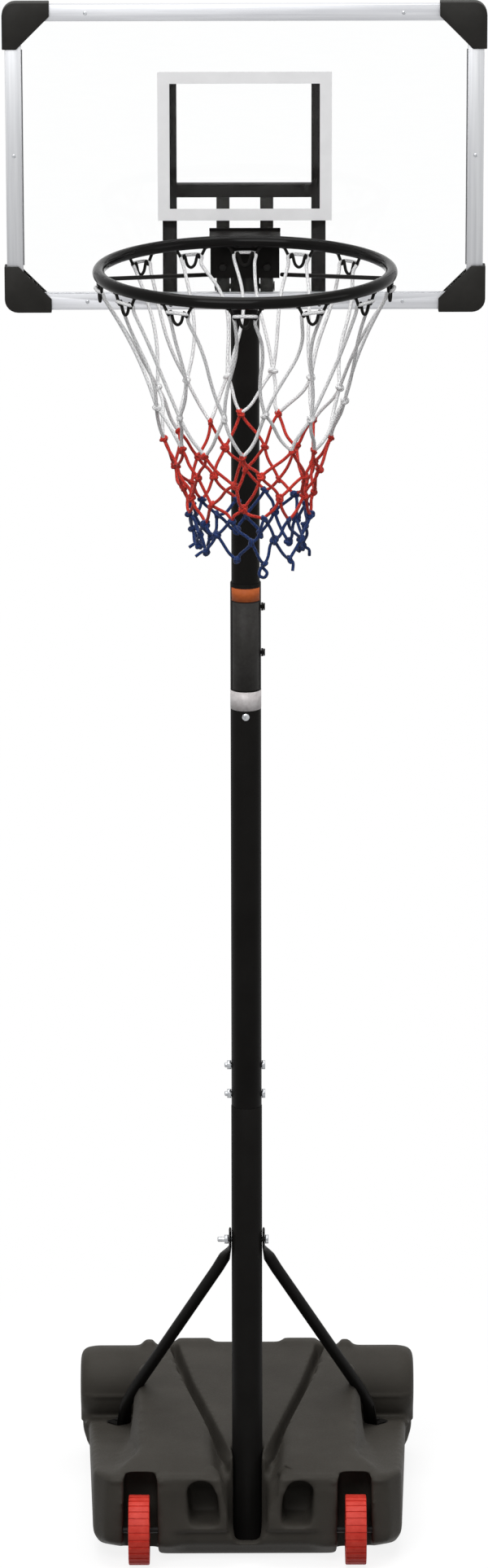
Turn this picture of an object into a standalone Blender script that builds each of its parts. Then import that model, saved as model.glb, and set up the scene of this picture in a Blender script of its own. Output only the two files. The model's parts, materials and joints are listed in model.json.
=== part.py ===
"""Portable basketball stand: wheeled tank base, telescopic pole, clear board, ring and net.

The pole's axis stands on the origin, the floor is z = 0, the board and the ring face -Y.
All sizes are in metres.
"""

import math

import bmesh
import bpy
from mathutils import Matrix, Vector

# Clearances between neighbouring pieces
GAP = 0.0003
BOLT_GAP = 0.0003

# Pole tubes, from the floor up
WALL = 0.0015
UPPER_OD = 0.0432
MIDDLE_OD = UPPER_OD + 2 * (GAP + WALL)
LOWER_OD = 0.0478
POLE_FOOT_Z = 0.0080
SEAM_Z = 0.7330
NECK_LENGTH = 0.1250
MIDDLE_TOP_Z = 1.5720
UPPER_OVERLAP = 0.2350
TUBE_SIDES = 28

# Ring and its bracket
RING_LIFT = 0.1140
RING_RADIUS = 0.2130
RING_TUBE_R = 0.0090
RING_TO_BOARD = 0.0550
RING_STEPS = 64
RING_SIDES = 10
BRACKET_HALF = 0.0515
FLANGE_HALF = 0.0528
BRACKET_SHEET = 0.0030
FLANGE_TOP = 0.0053
BRACKET_DROP = 0.0670
RIM_BOLT_X = 0.0330
RIM_BOLT_LOW = 0.0500
RIM_BOLT_HIGH = 0.0090
BRACE_R = 0.0032
BRACE_ANGLE = 86.0

# Backboard
BOARD_W = 0.7100
BOARD_H = 0.4590
BOARD_BOTTOM = 2.0030
BAR_FACE = 0.0240
BAR_DEPTH = 0.0160
SLOT_DEPTH = 0.0110
SHEET_T = 0.0035
SHEET_FRONT = -0.0335
CAP_LEG = 0.0700
CAP_END = 0.0210
CAP_RIM = 0.0040
CAP_FRONT = 0.0035
CAP_BACK = 0.0025
CAP_CORNER_R = 0.0200
BAR_END_TRIM = 0.0090
SQUARE_W = 0.2590
SQUARE_H = 0.2240
SQUARE_LIFT = 0.1340
SQUARE_BAND = 0.0178
SQUARE_T = 0.0004

# Welded frame behind the board
FRAME_TUBE = 0.0190
FRAME_WALL = 0.0015
FRAME_HALF = 0.1110
FRAME_TOP_DROP = 0.1120
FRAME_PAD_H = 0.0058
CROSSBAR_LIFT = 0.1860
STRADDLE_W = 0.0195
STRADDLE_D = 0.0340
FRAME_BOLT_LIFT = (0.0830, 0.0270)
POLE_TOP_DROP = 0.0070

# Fasteners
M8_R = 0.0040
M8_CORNER_R = 0.0075
M8_HEAD = 0.0053
M8_NUT = 0.0065
M6_R = 0.0030
M6_CORNER_R = 0.0058
M6_HEAD = 0.0040
HEX_FLAT = math.cos(math.pi / 6)
JOINT_BOLT_LIFT = (0.0650, 0.0180)
JOINT_BOLT_STICK_OUT = 0.0040
STRUT_BOLT_Z = 0.5105
STRUT_BOLT_STICK_OUT = 0.0110
CLAMP_SCREW_DROP = (0.0390, 0.1110)
CLAMP_NUT_R = 0.0066
CLAMP_NUT_LEN = 0.0050
LOCK_SCREW_DROP = 0.2070
LOCK_HEAD_R = 0.0060
LOCK_HEAD = 0.0026
LOCK_SHANK_R = 0.0030
FOOT_PIN_Z = 0.0570
FOOT_PIN_HALF = 0.0460

# Struts
STRUT_R = 0.0095
STRUT_FLAT_T = 0.0040
STRUT_FLAT_W = 0.0300
STRUT_FOOT_X = 0.2080
STRUT_FOOT_Y = 0.2560
STRUT_SCREW_R = 0.0030

# Wheels
WHEEL_R = 0.0550
WHEEL_W = 0.0330
WHEEL_X = 0.1700
WHEEL_Y = -0.0830
WHEEL_LIFT = 0.0012
WHEEL_RIBS = 30
RIB_DEPTH = 0.0012
AXLE_R = 0.0050
AXLE_GRIP = 0.0130
HUB_R = 0.0150
WEB_INSET = 0.0070

# Tank base
FRONT_Y = -0.1020
LOG_Y = 0.3350
LOG_Z = 0.1400
LOG_R = 0.0600
LOG_HALF = 0.2700
DECK_FRONT_Z = 0.1480
DECK_REAR_Z = 0.0940
RAMP_FRONT_Z = 0.1570
RAMP_REAR_Z = 0.2045
WELL_X = 0.1680
WELL_HALF = 0.0270
WELL_TOP = 0.1450
WELL_BACK = -0.0200
SLOT_HALF = 0.0315
SLOT_BACK = -0.0300
SLOT_LIP_Z = 0.0357
GROOVE_LINE = ((0.1150, 0.3240), (0.0934, 0.2130), (0.0280, -0.0340))
GROOVE_DEPTH = 0.0090
GROOVE_HALF = 0.0050
ARCH_DEPTH = 0.0380
FILL_Z = 0.1050
FILL_R = 0.0185
FILL_BOSS_R = 0.0300
FILL_BOSS_Y = 0.4000
CAP_R = 0.0270
CAP_T = 0.0100
CAP_PLUG = 0.0220

# Net
HOOK_ANGLES = (0, 27, 54, 81, 134, 158, 180, 202, 226, 279, 306, 333)
HOOK_WIRE_R = 0.0020
HOOK_HALF = 0.0240
HOOK_DROP = 0.0270
CORD = 0.0045
KNOT_GAP = 0.0003
# Rows of knots: drop below the hooks, share of the ring's radius
NET_ROWS = (
    (0.0000, 1.000), (0.1480, 0.695), (0.2060, 0.582), (0.2480, 0.516),
    (0.2880, 0.474), (0.3240, 0.437), (0.3600, 0.408), (0.4000, 0.376),
)
WHITE_ROW_COUNT = 2
RED_ROW_COUNT = 3

# Finishes: colour, roughness, metallic
FINISH = {
    "tank": ((0.045, 0.043, 0.040), 0.60, 0.0),
    "pole": ((0.012, 0.012, 0.012), 0.35, 0.3),
    "steel": ((0.55, 0.55, 0.55), 0.35, 1.0),
    "gloss": ((0.010, 0.010, 0.010), 0.20, 0.2),
    "aluminium": ((0.62, 0.63, 0.64), 0.35, 0.9),
    "clear": ((0.90, 0.92, 0.93), 0.05, 0.0),
    "capplastic": ((0.020, 0.020, 0.019), 0.55, 0.0),
    "vinyl": ((0.75, 0.75, 0.77), 0.50, 0.0),
    "wheelred": ((0.62, 0.03, 0.03), 0.45, 0.0),
    "white": ((0.80, 0.80, 0.80), 0.80, 0.0),
    "red": ((0.60, 0.04, 0.03), 0.80, 0.0),
    "blue": ((0.03, 0.07, 0.35), 0.80, 0.0),
    "fill": ((0.45, 0.36, 0.22), 0.90, 0.0),
}

# Values worked out from the sizes above
UPPER_R = UPPER_OD / 2
MIDDLE_R = MIDDLE_OD / 2
LOWER_R = LOWER_OD / 2
SHEET_BACK = SHEET_FRONT + SHEET_T
BAR_MID = (SHEET_FRONT + SHEET_BACK) / 2
BAR_FRONT = BAR_MID - BAR_DEPTH / 2
BAR_BACK = BAR_MID + BAR_DEPTH / 2
BOARD_TOP = BOARD_BOTTOM + BOARD_H
SQUARE_BOTTOM = BOARD_BOTTOM + SQUARE_LIFT
FRAME_TOP = BOARD_TOP - FRAME_TOP_DROP
CROSSBAR_TOP = BOARD_BOTTOM + CROSSBAR_LIFT
FRAME_BOLT_Z = [BOARD_BOTTOM + lift for lift in FRAME_BOLT_LIFT]
RING_Z = BOARD_BOTTOM + RING_LIFT
JOINT_BOLT_Z = [SEAM_Z + lift for lift in JOINT_BOLT_LIFT]
CLAMP_SCREW_Z = [MIDDLE_TOP_Z - drop for drop in CLAMP_SCREW_DROP]
LOCK_SCREW_Z = MIDDLE_TOP_Z - LOCK_SCREW_DROP
FRAME_FRONT = BAR_BACK + GAP
RING_Y = SHEET_FRONT - RING_TO_BOARD - RING_RADIUS
POLE_TOP_Z = RING_Z - POLE_TOP_DROP
STRADDLE_X = UPPER_R + GAP + STRADDLE_W / 2 + 0.0010
AXLE_Z = WHEEL_R + WHEEL_LIFT
NET_TOP = RING_Z - RING_TUBE_R - HOOK_DROP - HOOK_WIRE_R - GAP


# Scene and finishes

def clear_scene():
    for obj in list(bpy.data.objects):
        bpy.data.objects.remove(obj, do_unlink=True)


def finish(name):
    mat = bpy.data.materials.get(name)
    if mat is None:
        colour, rough, metal = FINISH[name]
        mat = bpy.data.materials.new(name)
        mat.use_nodes = True
        shader = mat.node_tree.nodes["Principled BSDF"]
        shader.inputs["Base Color"].default_value = (*colour, 1.0)
        shader.inputs["Roughness"].default_value = rough
        shader.inputs["Metallic"].default_value = metal
        mat.diffuse_color = (*colour, 1.0)
    return mat


def add_object(name, bm, look, at=(0, 0, 0), parent=None, smooth=False):
    """Turn a bmesh in world coordinates into an object whose origin is at the point `at`."""
    bmesh.ops.translate(bm, verts=bm.verts, vec=-Vector(at))
    bmesh.ops.recalc_face_normals(bm, faces=bm.faces)
    mesh = bpy.data.meshes.new(name)
    bm.to_mesh(mesh)
    bm.free()
    if smooth:
        mesh.shade_smooth()
        mesh.set_sharp_from_angle(angle=math.radians(35))
    obj = bpy.data.objects.new(name, mesh)
    obj.location = at
    if look:
        mesh.materials.append(finish(look))
    bpy.context.scene.collection.objects.link(obj)
    if parent:
        obj.location = Vector(at) - parent.location
        obj.parent = parent
    return obj


def add_empty(name, at):
    empty = bpy.data.objects.new(name, None)
    empty.location = at
    bpy.context.scene.collection.objects.link(empty)
    return empty


# Shapes made in a bmesh

def box(bm, x, y, z):
    """A box between the pairs of limits x, y and z."""
    size = Matrix.Diagonal((x[1] - x[0], y[1] - y[0], z[1] - z[0], 1.0))
    middle = Matrix.Translation(((x[0] + x[1]) / 2, (y[0] + y[1]) / 2, (z[0] + z[1]) / 2))
    bmesh.ops.create_cube(bm, size=1.0, matrix=middle @ size)


def hull(bm, points):
    """The convex solid around the points."""
    verts = [bm.verts.new(p) for p in points]
    result = bmesh.ops.convex_hull(bm, input=verts)
    spare = result["geom_interior"] + result["geom_unused"]
    loose = {v for v in spare if isinstance(v, bmesh.types.BMVert)}
    bmesh.ops.delete(bm, geom=list(loose), context="VERTS")


def mirrored(points):
    """Points given for +X, with their mirror images."""
    return [(s * x, y, z) for x, y, z in points for s in (1, -1)]


def prism(bm, outline, depth, place=Matrix()):
    """An outline in the local XY plane, pushed out along local Z by depth."""
    verts = [bm.verts.new((x, y, 0.0)) for x, y in outline]
    face = bm.faces.new(verts)
    grown = bmesh.ops.extrude_face_region(bm, geom=[face])["geom"]
    top = [v for v in grown if isinstance(v, bmesh.types.BMVert)]
    bmesh.ops.translate(bm, verts=top, vec=(0, 0, depth))
    bmesh.ops.transform(bm, matrix=place, verts=verts + top)


def arc(centre, radius, start, end, steps):
    """Points of an arc in degrees, both ends included."""
    turns = [math.radians(start + (end - start) * i / steps) for i in range(steps + 1)]
    return [(centre[0] + radius * math.cos(a), centre[1] + radius * math.sin(a)) for a in turns]


def loft(bm, frames, sides, closed=False, flats=None):
    """Carry a unit circle through a list of matrices; flats draws in every other corner."""
    loops = []
    for i, frame in enumerate(frames):
        if not loops:
            ring = bmesh.ops.create_circle(bm, segments=sides, radius=1.0)["verts"]
        else:
            edges = [bm.edges.get((loops[-1][k], loops[-1][k - 1])) for k in range(sides)]
            grown = bmesh.ops.extrude_edge_only(bm, edges=edges)["geom"]
            fresh = {v for v in grown if isinstance(v, bmesh.types.BMVert)}
            ring = []
            for vert in loops[-1]:
                ring.append(next(e.other_vert(vert) for e in vert.link_edges if e.other_vert(vert) in fresh))
        for k, vert in enumerate(ring):
            turn = 2 * math.pi * k / sides
            pull = flats[i] if flats and k % 2 else 1.0
            vert.co = frame @ Vector((pull * math.cos(turn), pull * math.sin(turn), 0.0))
        loops.append(ring)
    if closed:
        for k in range(sides):
            bm.faces.new((loops[-1][k], loops[-1][k - 1], loops[0][k - 1], loops[0][k]))
    else:
        bm.faces.new(loops[0])
        bm.faces.new(loops[-1])


def turned(bm, profile, sides, place=Matrix(), closed=False):
    """A turned solid: profile lists (height, radius) or (height, radius, flat) along local Z."""
    frames = []
    for ring in profile:
        size = Matrix.Diagonal((ring[1], ring[1], 1.0, 1.0))
        frames.append(place @ Matrix.Translation((0, 0, ring[0])) @ size)
    flats = [ring[2] if len(ring) > 2 else 1.0 for ring in profile]
    loft(bm, frames, sides, closed, flats)


def along(axis, at):
    """A placement whose local Z points along a world axis: +X, -X, +Y, -Y or +Z."""
    turns = {
        "+X": Matrix.Rotation(math.pi / 2, 4, "Y"),
        "-X": Matrix.Rotation(-math.pi / 2, 4, "Y"),
        "+Y": Matrix.Rotation(-math.pi / 2, 4, "X"),
        "-Y": Matrix.Rotation(math.pi / 2, 4, "X"),
        "+Z": Matrix(),
    }
    return Matrix.Translation(at) @ turns[axis]


def sweep(bm, points, radii, sides, up=Vector((0, 0, 1))):
    """A bar along a path; radii lists (half width across up, half width along up) for each point."""
    frames = []
    for i, point in enumerate(points):
        before = points[max(i - 1, 0)]
        after = points[min(i + 1, len(points) - 1)]
        forward = (Vector(after) - Vector(before)).normalized()
        side = forward.cross(up).normalized()
        lift = side.cross(forward)
        spin = Matrix((side, lift, forward)).transposed().to_4x4()
        size = Matrix.Diagonal((radii[i][0], radii[i][1], 1.0, 1.0))
        frames.append(Matrix.Translation(point) @ spin @ size)
    loft(bm, frames, sides)


def soften(bm, width, segments):
    """Round every edge that is sharper than 20 degrees."""
    edges = [e for e in bm.edges if e.calc_face_angle(0.0) > math.radians(20)]
    bmesh.ops.bevel(bm, geom=edges, offset=width, segments=segments, profile=0.5,
                    affect="EDGES", clamp_overlap=True, material=-1)


def cut(obj, cutter, operation="DIFFERENCE"):
    """Add a Boolean whose other mesh is a guide that is never drawn."""
    cutter.hide_render = True
    cutter.display_type = "WIRE"
    boolean = obj.modifiers.new(cutter.name, "BOOLEAN")
    boolean.operation = operation
    boolean.solver = "EXACT"
    boolean.object = cutter


def guide(name, bm, parent=None):
    at = tuple(parent.location) if parent else (0, 0, 0)
    return add_object(name, bm, None, at=at, parent=parent)


# Tank base

def deck_height(y):
    """Height of the deck's plane beside the ramp."""
    front, rear = FRONT_Y + 0.020, LOG_Y - 0.035
    return DECK_FRONT_Z + (DECK_REAR_Z - DECK_FRONT_Z) * (y - front) / (rear - front)


def ramp_height(y):
    """Height of the ramp's plane between the two grooves."""
    front, rear = FRONT_Y + 0.062, LOG_Y + 0.010
    return RAMP_FRONT_Z + (RAMP_REAR_Z - RAMP_FRONT_Z) * (y - front) / (rear - front)


def deck_block():
    bm = bmesh.new()
    rear = LOG_Y + 0.025
    hull(bm, mirrored([
        (0.225, LOG_Y + 0.040, 0.0), (0.248, LOG_Y - 0.035, 0.0), (0.236, 0.0, 0.0), (0.130, -0.048, 0.0),
        (0.243, FRONT_Y + 0.040, 0.040), (0.222, FRONT_Y + 0.004, 0.042), (0.130, FRONT_Y, 0.036),
        (0.243, FRONT_Y + 0.056, deck_height(FRONT_Y + 0.056)), (0.218, FRONT_Y + 0.020, DECK_FRONT_Z),
        (0.130, FRONT_Y + 0.014, DECK_FRONT_Z), (0.258, LOG_Y - 0.035, DECK_REAR_Z),
        (0.248, rear, deck_height(rear)),
    ]))
    soften(bm, 0.011, 1)
    return bm


def ramp_block():
    bm = bmesh.new()
    rear = LOG_Y + 0.015
    front = FRONT_Y + 0.070
    hull(bm, mirrored([
        (0.125, rear, ramp_height(rear)), (0.175, 0.090, ramp_height(0.090)),
        (0.198, front, ramp_height(front)),
        (0.198, FRONT_Y + 0.034, ramp_height(FRONT_Y) - 0.001), (0.194, FRONT_Y + 0.010, 0.126),
        (0.118, LOG_Y + 0.046, 0.182), (0.130, LOG_Y + 0.046, 0.050), (0.179, LOG_Y - 0.042, 0.080),
        (0.187, 0.090, 0.080), (0.205, front, 0.080), (0.200, FRONT_Y + 0.008, 0.050),
    ]))
    soften(bm, 0.009, 1)
    return bm


def rear_block():
    """The full-width wall under the roll."""
    bm = bmesh.new()
    near, far = LOG_Y - 0.037, LOG_Y + 0.052
    wide = LOG_HALF - 0.003
    hull(bm, mirrored([
        (wide, near, LOG_Z), (wide, far, LOG_Z), (wide, near, 0.070), (wide, far, 0.070),
        (wide - 0.009, near, 0.036), (wide - 0.014, far, 0.030),
        (0.225, near, 0.004), (0.215, far - 0.010, 0.004),
    ]))
    soften(bm, 0.010, 1)
    return bm


def log_roll():
    """The half-round bulge across the rear, with domed ends."""
    dome = 0.022
    ends = [(0.0, 0.30), (0.10, 0.62), (0.35, 0.84), (0.70, 0.965), (1.0, 1.0)]
    left = [(-LOG_HALF + dome * t, LOG_R * r) for t, r in ends]
    right = [(-h, r) for h, r in reversed(left)]
    bm = bmesh.new()
    turned(bm, left + right, 24, along("+X", (0, LOG_Y, LOG_Z)))
    return bm


def top_lugs():
    """Two small nubs on the roll and two raised steps at the ramp's rear edge."""
    bm = bmesh.new()
    top = LOG_Z + LOG_R
    near, far = LOG_Y - 0.004, LOG_Y + 0.034
    step = ramp_height(near) + 0.0055
    for side in (1, -1):
        nub = [(0.147, LOG_Y - 0.012, top - 0.012), (0.175, LOG_Y - 0.012, top - 0.012),
               (0.147, LOG_Y + 0.032, top - 0.020), (0.175, LOG_Y + 0.032, top - 0.020)]
        nub += [(x, y, top + 0.0085) for x in (0.151, 0.167) for y in (LOG_Y, LOG_Y + 0.020)]
        hull(bm, [(side * x, y, z) for x, y, z in nub])
        raised = [(x, near, top - 0.02) for x in (0.055, 0.116)]
        raised += [(x, far, top - 0.03) for x in (0.055, 0.116)]
        raised += [(x, y, step) for x in (0.058, 0.113) for y in (near + 0.006, far - 0.008)]
        hull(bm, [(side * x, y, z) for x, y, z in raised])
    return guide("lug_guide", bm)


def groove_cutter(name, start, end):
    """A stretch of the two V grooves that run down the ramp and close in on the pole."""
    bm = bmesh.new()
    run = Vector((end[0] - start[0], end[1] - start[1], 0)).normalized()
    across = Vector((-run.y, run.x, 0)) * GROOVE_HALF
    for side in (1, -1):
        points = []
        for x, y in (start, end):
            top = ramp_height(y)
            points.append((side * x, y, top - GROOVE_DEPTH))
            for way in (1, -1):
                points.append((side * (x + way * across.x), y + way * across.y, top + 0.0004))
                points.append((side * (x + way * across.x), y + way * across.y, top + 0.020))
        hull(bm, points)
    return guide(name, bm)


def recess_cutter():
    """The open U-shaped pocket in the front wall that the pole's foot stands in."""
    bm = bmesh.new()
    outline = arc((0.0, SLOT_LIP_Z + SLOT_HALF), SLOT_HALF, 180, 360, 10)
    outline += [(SLOT_HALF, 0.235), (-SLOT_HALF, 0.235)]
    front_on = Matrix.Rotation(math.pi / 2, 4, "X")
    prism(bm, outline, 0.110, Matrix.Translation((0, SLOT_BACK, 0)) @ front_on)
    return guide("recess_guide", bm)


def flare_cutter():
    """Two cheeks that fall from the ramp beside the grooves down to the front pocket."""
    bm = bmesh.new()
    over = 0.240
    edge = [(0.0640, 0.092), (0.0570, -0.007), (0.0500, -0.074)]
    foot = [(0.0580, 0.078, ramp_height(0.078) - 0.004), (SLOT_HALF - 0.003, -0.034, 0.124)]
    foot += [(SLOT_HALF - 0.003, FRONT_Y - 0.030, 0.084), (0.0410, FRONT_Y - 0.030, 0.136)]
    points = [(x, y, ramp_height(y) + 0.0004) for x, y in edge] + foot
    points += [(x, y, over) for x, y in edge] + [(x, y, over) for x, y, z in foot]
    for side in (1, -1):
        hull(bm, [(side * x, y, z) for x, y, z in points])
    return guide("flare_guide", bm)


def socket_cutter():
    """The round socket for the pole's foot, open to the front pocket."""
    bm = bmesh.new()
    bore = LOWER_R + GAP
    turned(bm, [(POLE_FOOT_Z - GAP, bore), (0.30, bore)], TUBE_SIDES, along("+Z", (0, 0, 0)))
    return guide("socket_guide", bm)


def mouth_cutter():
    """The floor of the pocket between the socket and the lip."""
    bm = bmesh.new()
    half = LOWER_R + GAP
    floor = POLE_FOOT_Z + 0.006
    hull(bm, mirrored([
        (half * 0.96, 0.0, floor), (half * 0.7, -0.022, floor),
        (half * 0.96, 0.0, 0.20), (half * 0.7, -0.022, 0.20),
        (half * 0.8, FRONT_Y - 0.01, SLOT_LIP_Z + 0.004), (half * 0.8, FRONT_Y - 0.01, 0.20),
    ]))
    return guide("mouth_guide", bm)


def well_cutter():
    """Two wheel wells, each with a rounded ceiling, and two arched hand pockets."""
    bm = bmesh.new()
    corner = 0.020
    side_on = Matrix.Rotation(math.pi / 2, 4, "Z") @ Matrix.Rotation(math.pi / 2, 4, "X")
    outline = [(FRONT_Y - 0.05, -0.05), (WELL_BACK, -0.05)]
    outline += arc((WELL_BACK - corner, WELL_TOP - corner), corner, 0, 90, 4)
    outline += [(FRONT_Y - 0.05, WELL_TOP)]
    for side in (1, -1):
        start = side * WELL_X - WELL_HALF
        prism(bm, outline, 2 * WELL_HALF, Matrix.Translation((start, 0, 0)) @ side_on)
    arch = [
        (0.0520, 0.0675), (0.0940, 0.0670), (0.0970, 0.0850), (0.1000, 0.1190), (0.0980, 0.1280),
        (0.0930, 0.1345), (0.0840, 0.1385), (0.0740, 0.1396), (0.0670, 0.1375), (0.0600, 0.1327),
        (0.0515, 0.1126), (0.0490, 0.0890), (0.0485, 0.0740),
    ]
    front_on = Matrix.Rotation(math.pi / 2, 4, "X")
    for side in (1, -1):
        place = Matrix.Translation((0, FRONT_Y + ARCH_DEPTH, 0)) @ front_on
        prism(bm, [(side * x, z) for x, z in arch], ARCH_DEPTH + 0.030, place)
    return guide("well_guide", bm)


def bore_cutter():
    """Bores for the axles, the foot's cross pin and the strut screws."""
    bm = bmesh.new()
    reach = WELL_HALF + AXLE_GRIP + GAP
    for side in (1, -1):
        place = along("+X", (side * WELL_X, WHEEL_Y, AXLE_Z))
        turned(bm, [(-reach, AXLE_R + GAP), (reach, AXLE_R + GAP)], 16, place)
        turned(bm, [(-0.032, STRUT_SCREW_R + GAP), (0.03, STRUT_SCREW_R + GAP)], 12, strut_foot(side))
    pin = FOOT_PIN_HALF + GAP
    turned(bm, [(-pin, M8_R + GAP), (pin, M8_R + GAP)], 12, along("+X", (0, 0, FOOT_PIN_Z)))
    return guide("bore_guide", bm)


def cavity_points(shrink):
    """Corners of the space for the ballast, drawn in on all sides by shrink."""
    front, rear = 0.052 + shrink, LOG_Y + 0.005 - shrink
    return mirrored([
        (0.200 - shrink, front + 0.008, 0.012 + shrink), (0.200 - shrink, rear, 0.012 + shrink),
        (0.140 - shrink, front + 0.028, 0.140 - shrink), (0.100 - shrink, rear - 0.012, 0.172 - shrink),
        (0.170 - shrink, front, 0.030 + shrink), (0.170 - shrink, rear - 0.003, 0.060 - shrink),
    ])


def cavity_cutter():
    bm = bmesh.new()
    hull(bm, cavity_points(0.0))
    return guide("cavity_guide", bm)


def fill_boss():
    bm = bmesh.new()
    profile = [(LOG_Y - 0.01, FILL_BOSS_R), (FILL_BOSS_Y - 0.002, FILL_BOSS_R),
               (FILL_BOSS_Y, FILL_BOSS_R - 0.002)]
    turned(bm, profile, 28, along("+Y", (0, 0, FILL_Z)))
    return guide("fill_boss_guide", bm)


def fill_hole():
    bm = bmesh.new()
    turned(bm, [(LOG_Y - 0.03, FILL_R), (FILL_BOSS_Y + 0.02, FILL_R)], 28, along("+Y", (0, 0, FILL_Z)))
    return guide("fill_hole_guide", bm)


def base_tank():
    tank = add_object("base_tank", deck_block(), "tank")
    cut(tank, guide("ramp_guide", ramp_block()), "UNION")
    cut(tank, guide("rear_guide", rear_block()), "UNION")
    cut(tank, guide("log_guide", log_roll()), "UNION")
    cut(tank, top_lugs(), "UNION")
    cut(tank, fill_boss(), "UNION")
    top, bend, end = GROOVE_LINE
    cut(tank, groove_cutter("groove_upper_guide", top, bend))
    cut(tank, groove_cutter("groove_lower_guide", bend, end))
    hollows = (flare_cutter, recess_cutter, mouth_cutter, socket_cutter, well_cutter, bore_cutter,
               cavity_cutter, fill_hole)
    for make in hollows:
        cut(tank, make())


def ballast_fill():
    bm = bmesh.new()
    hull(bm, cavity_points(0.0006))
    add_object("ballast_fill", bm, "fill")


def fill_cap():
    """Screw cap on the rear of the tank; its plug fills the hole."""
    bm = bmesh.new()
    seat = FILL_BOSS_Y + GAP
    profile = [
        (seat - CAP_PLUG, FILL_R - 0.002), (seat - CAP_PLUG + 0.002, FILL_R - GAP), (seat, FILL_R - GAP),
        (seat, CAP_R, 0.97), (seat + CAP_T - 0.002, CAP_R, 0.97), (seat + CAP_T, CAP_R - 0.002, 0.97),
    ]
    turned(bm, profile, 24, along("+Y", (0, 0, FILL_Z)))
    grip = bmesh.new()
    box(grip, (-0.020, 0.020), (seat + CAP_T - 0.001, seat + CAP_T + 0.006), (FILL_Z - 0.003, FILL_Z + 0.003))
    cap = add_object("fill_cap", bm, "capplastic", at=(0, seat, FILL_Z), smooth=True)
    cut(cap, guide("cap_grip_guide", grip), "UNION")


# Wheels

def wheel(side, name):
    """Moulded wheel with a ribbed tread, a sunk web and a hub."""
    half = WHEEL_W / 2
    web = half - WEB_INSET
    tread = WHEEL_R - RIB_DEPTH
    rib = WHEEL_R / tread
    shoulder = WHEEL_R - 0.003
    rim = WHEEL_R - 0.012
    bore = AXLE_R + GAP
    profile = [
        (-half, bore), (-half, HUB_R), (-web, HUB_R + 0.002), (-web, rim - 0.002), (-half, rim),
        (-half, shoulder),
        (-half + 0.003, tread, rib), (half - 0.003, tread, rib),
        (half, shoulder), (half, rim), (web, rim - 0.002), (web, HUB_R + 0.002), (half, HUB_R), (half, bore),
    ]
    bm = bmesh.new()
    centre = (side * WHEEL_X, WHEEL_Y, AXLE_Z)
    turned(bm, profile, 2 * WHEEL_RIBS, along("+X", centre), closed=True)
    add_object(name, bm, "wheelred", at=centre)


def axle(side, name):
    bm = bmesh.new()
    reach = WELL_HALF + AXLE_GRIP
    turned(bm, [(-reach, AXLE_R), (reach, AXLE_R)], 16, along("+X", (side * WELL_X, WHEEL_Y, AXLE_Z)))
    add_object(name, bm, "steel", smooth=True)


# Pole

def cross_hole(bm, z, radius, reach, sides=12, start=None):
    """A cutter along X through a tube, or from start outward on one side only."""
    begin = -reach if start is None else start
    turned(bm, [(begin, radius), (reach, radius)], sides, along("+X", (0, 0, z)))


def lower_pole():
    neck = UPPER_OD / 2
    top = SEAM_Z + NECK_LENGTH
    inner = LOWER_R - WALL
    slope = 0.004
    profile = [
        (POLE_FOOT_Z, inner), (POLE_FOOT_Z, LOWER_R), (SEAM_Z - GAP, LOWER_R), (SEAM_Z - GAP, neck),
        (top, neck), (top, neck - WALL), (SEAM_Z - slope, neck - WALL), (SEAM_Z - 2 * slope, inner),
    ]
    bm = bmesh.new()
    turned(bm, profile, TUBE_SIDES, closed=True)
    pole = add_object("lower_pole", bm, "pole", smooth=True)
    holes = bmesh.new()
    for z in (*JOINT_BOLT_Z, STRUT_BOLT_Z, FOOT_PIN_Z):
        cross_hole(holes, z, M8_R + BOLT_GAP, 0.06)
    cut(pole, guide("lower_hole_guide", holes))


def middle_pole():
    bm = bmesh.new()
    inner = MIDDLE_R - WALL
    turned(bm, [(SEAM_Z, inner), (SEAM_Z, MIDDLE_R), (MIDDLE_TOP_Z, MIDDLE_R), (MIDDLE_TOP_Z, inner)],
           TUBE_SIDES, closed=True)
    pole = add_object("middle_pole", bm, "pole", smooth=True)
    holes = bmesh.new()
    for z in JOINT_BOLT_Z:
        cross_hole(holes, z, M8_R + BOLT_GAP, 0.06)
    for z in CLAMP_SCREW_Z:
        cross_hole(holes, z, M6_R + BOLT_GAP, 0.06, start=0.0)
    bore = LOCK_SHANK_R + BOLT_GAP
    turned(holes, [(0.0, bore), (0.06, bore)], 12, along("-Y", (0, 0, LOCK_SCREW_Z)))
    cut(pole, guide("middle_hole_guide", holes))


def upper_pole(lift):
    bm = bmesh.new()
    bottom = MIDDLE_TOP_Z - UPPER_OVERLAP
    inner = UPPER_R - WALL
    profile = [(bottom, inner), (bottom, UPPER_R), (POLE_TOP_Z, UPPER_R), (POLE_TOP_Z, inner)]
    turned(bm, profile, TUBE_SIDES, closed=True)
    pole = add_object("upper_pole", bm, "pole", at=lift.location, parent=lift, smooth=True)
    holes = bmesh.new()
    for z in FRAME_BOLT_Z:
        cross_hole(holes, z, M8_R + BOLT_GAP, 0.05)
    cut(pole, guide("upper_hole_guide", holes, lift))


def pole_cap(lift):
    """Plastic cap that closes the top of the upper tube."""
    bm = bmesh.new()
    plug = UPPER_R - WALL - GAP
    seat = POLE_TOP_Z + GAP
    turned(bm, [(seat - 0.014, plug), (seat, plug), (seat, UPPER_R), (seat + 0.003, UPPER_R - 0.001)], 32)
    add_object("pole_cap", bm, "capplastic", at=lift.location, parent=lift, smooth=True)


# Fasteners

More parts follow.
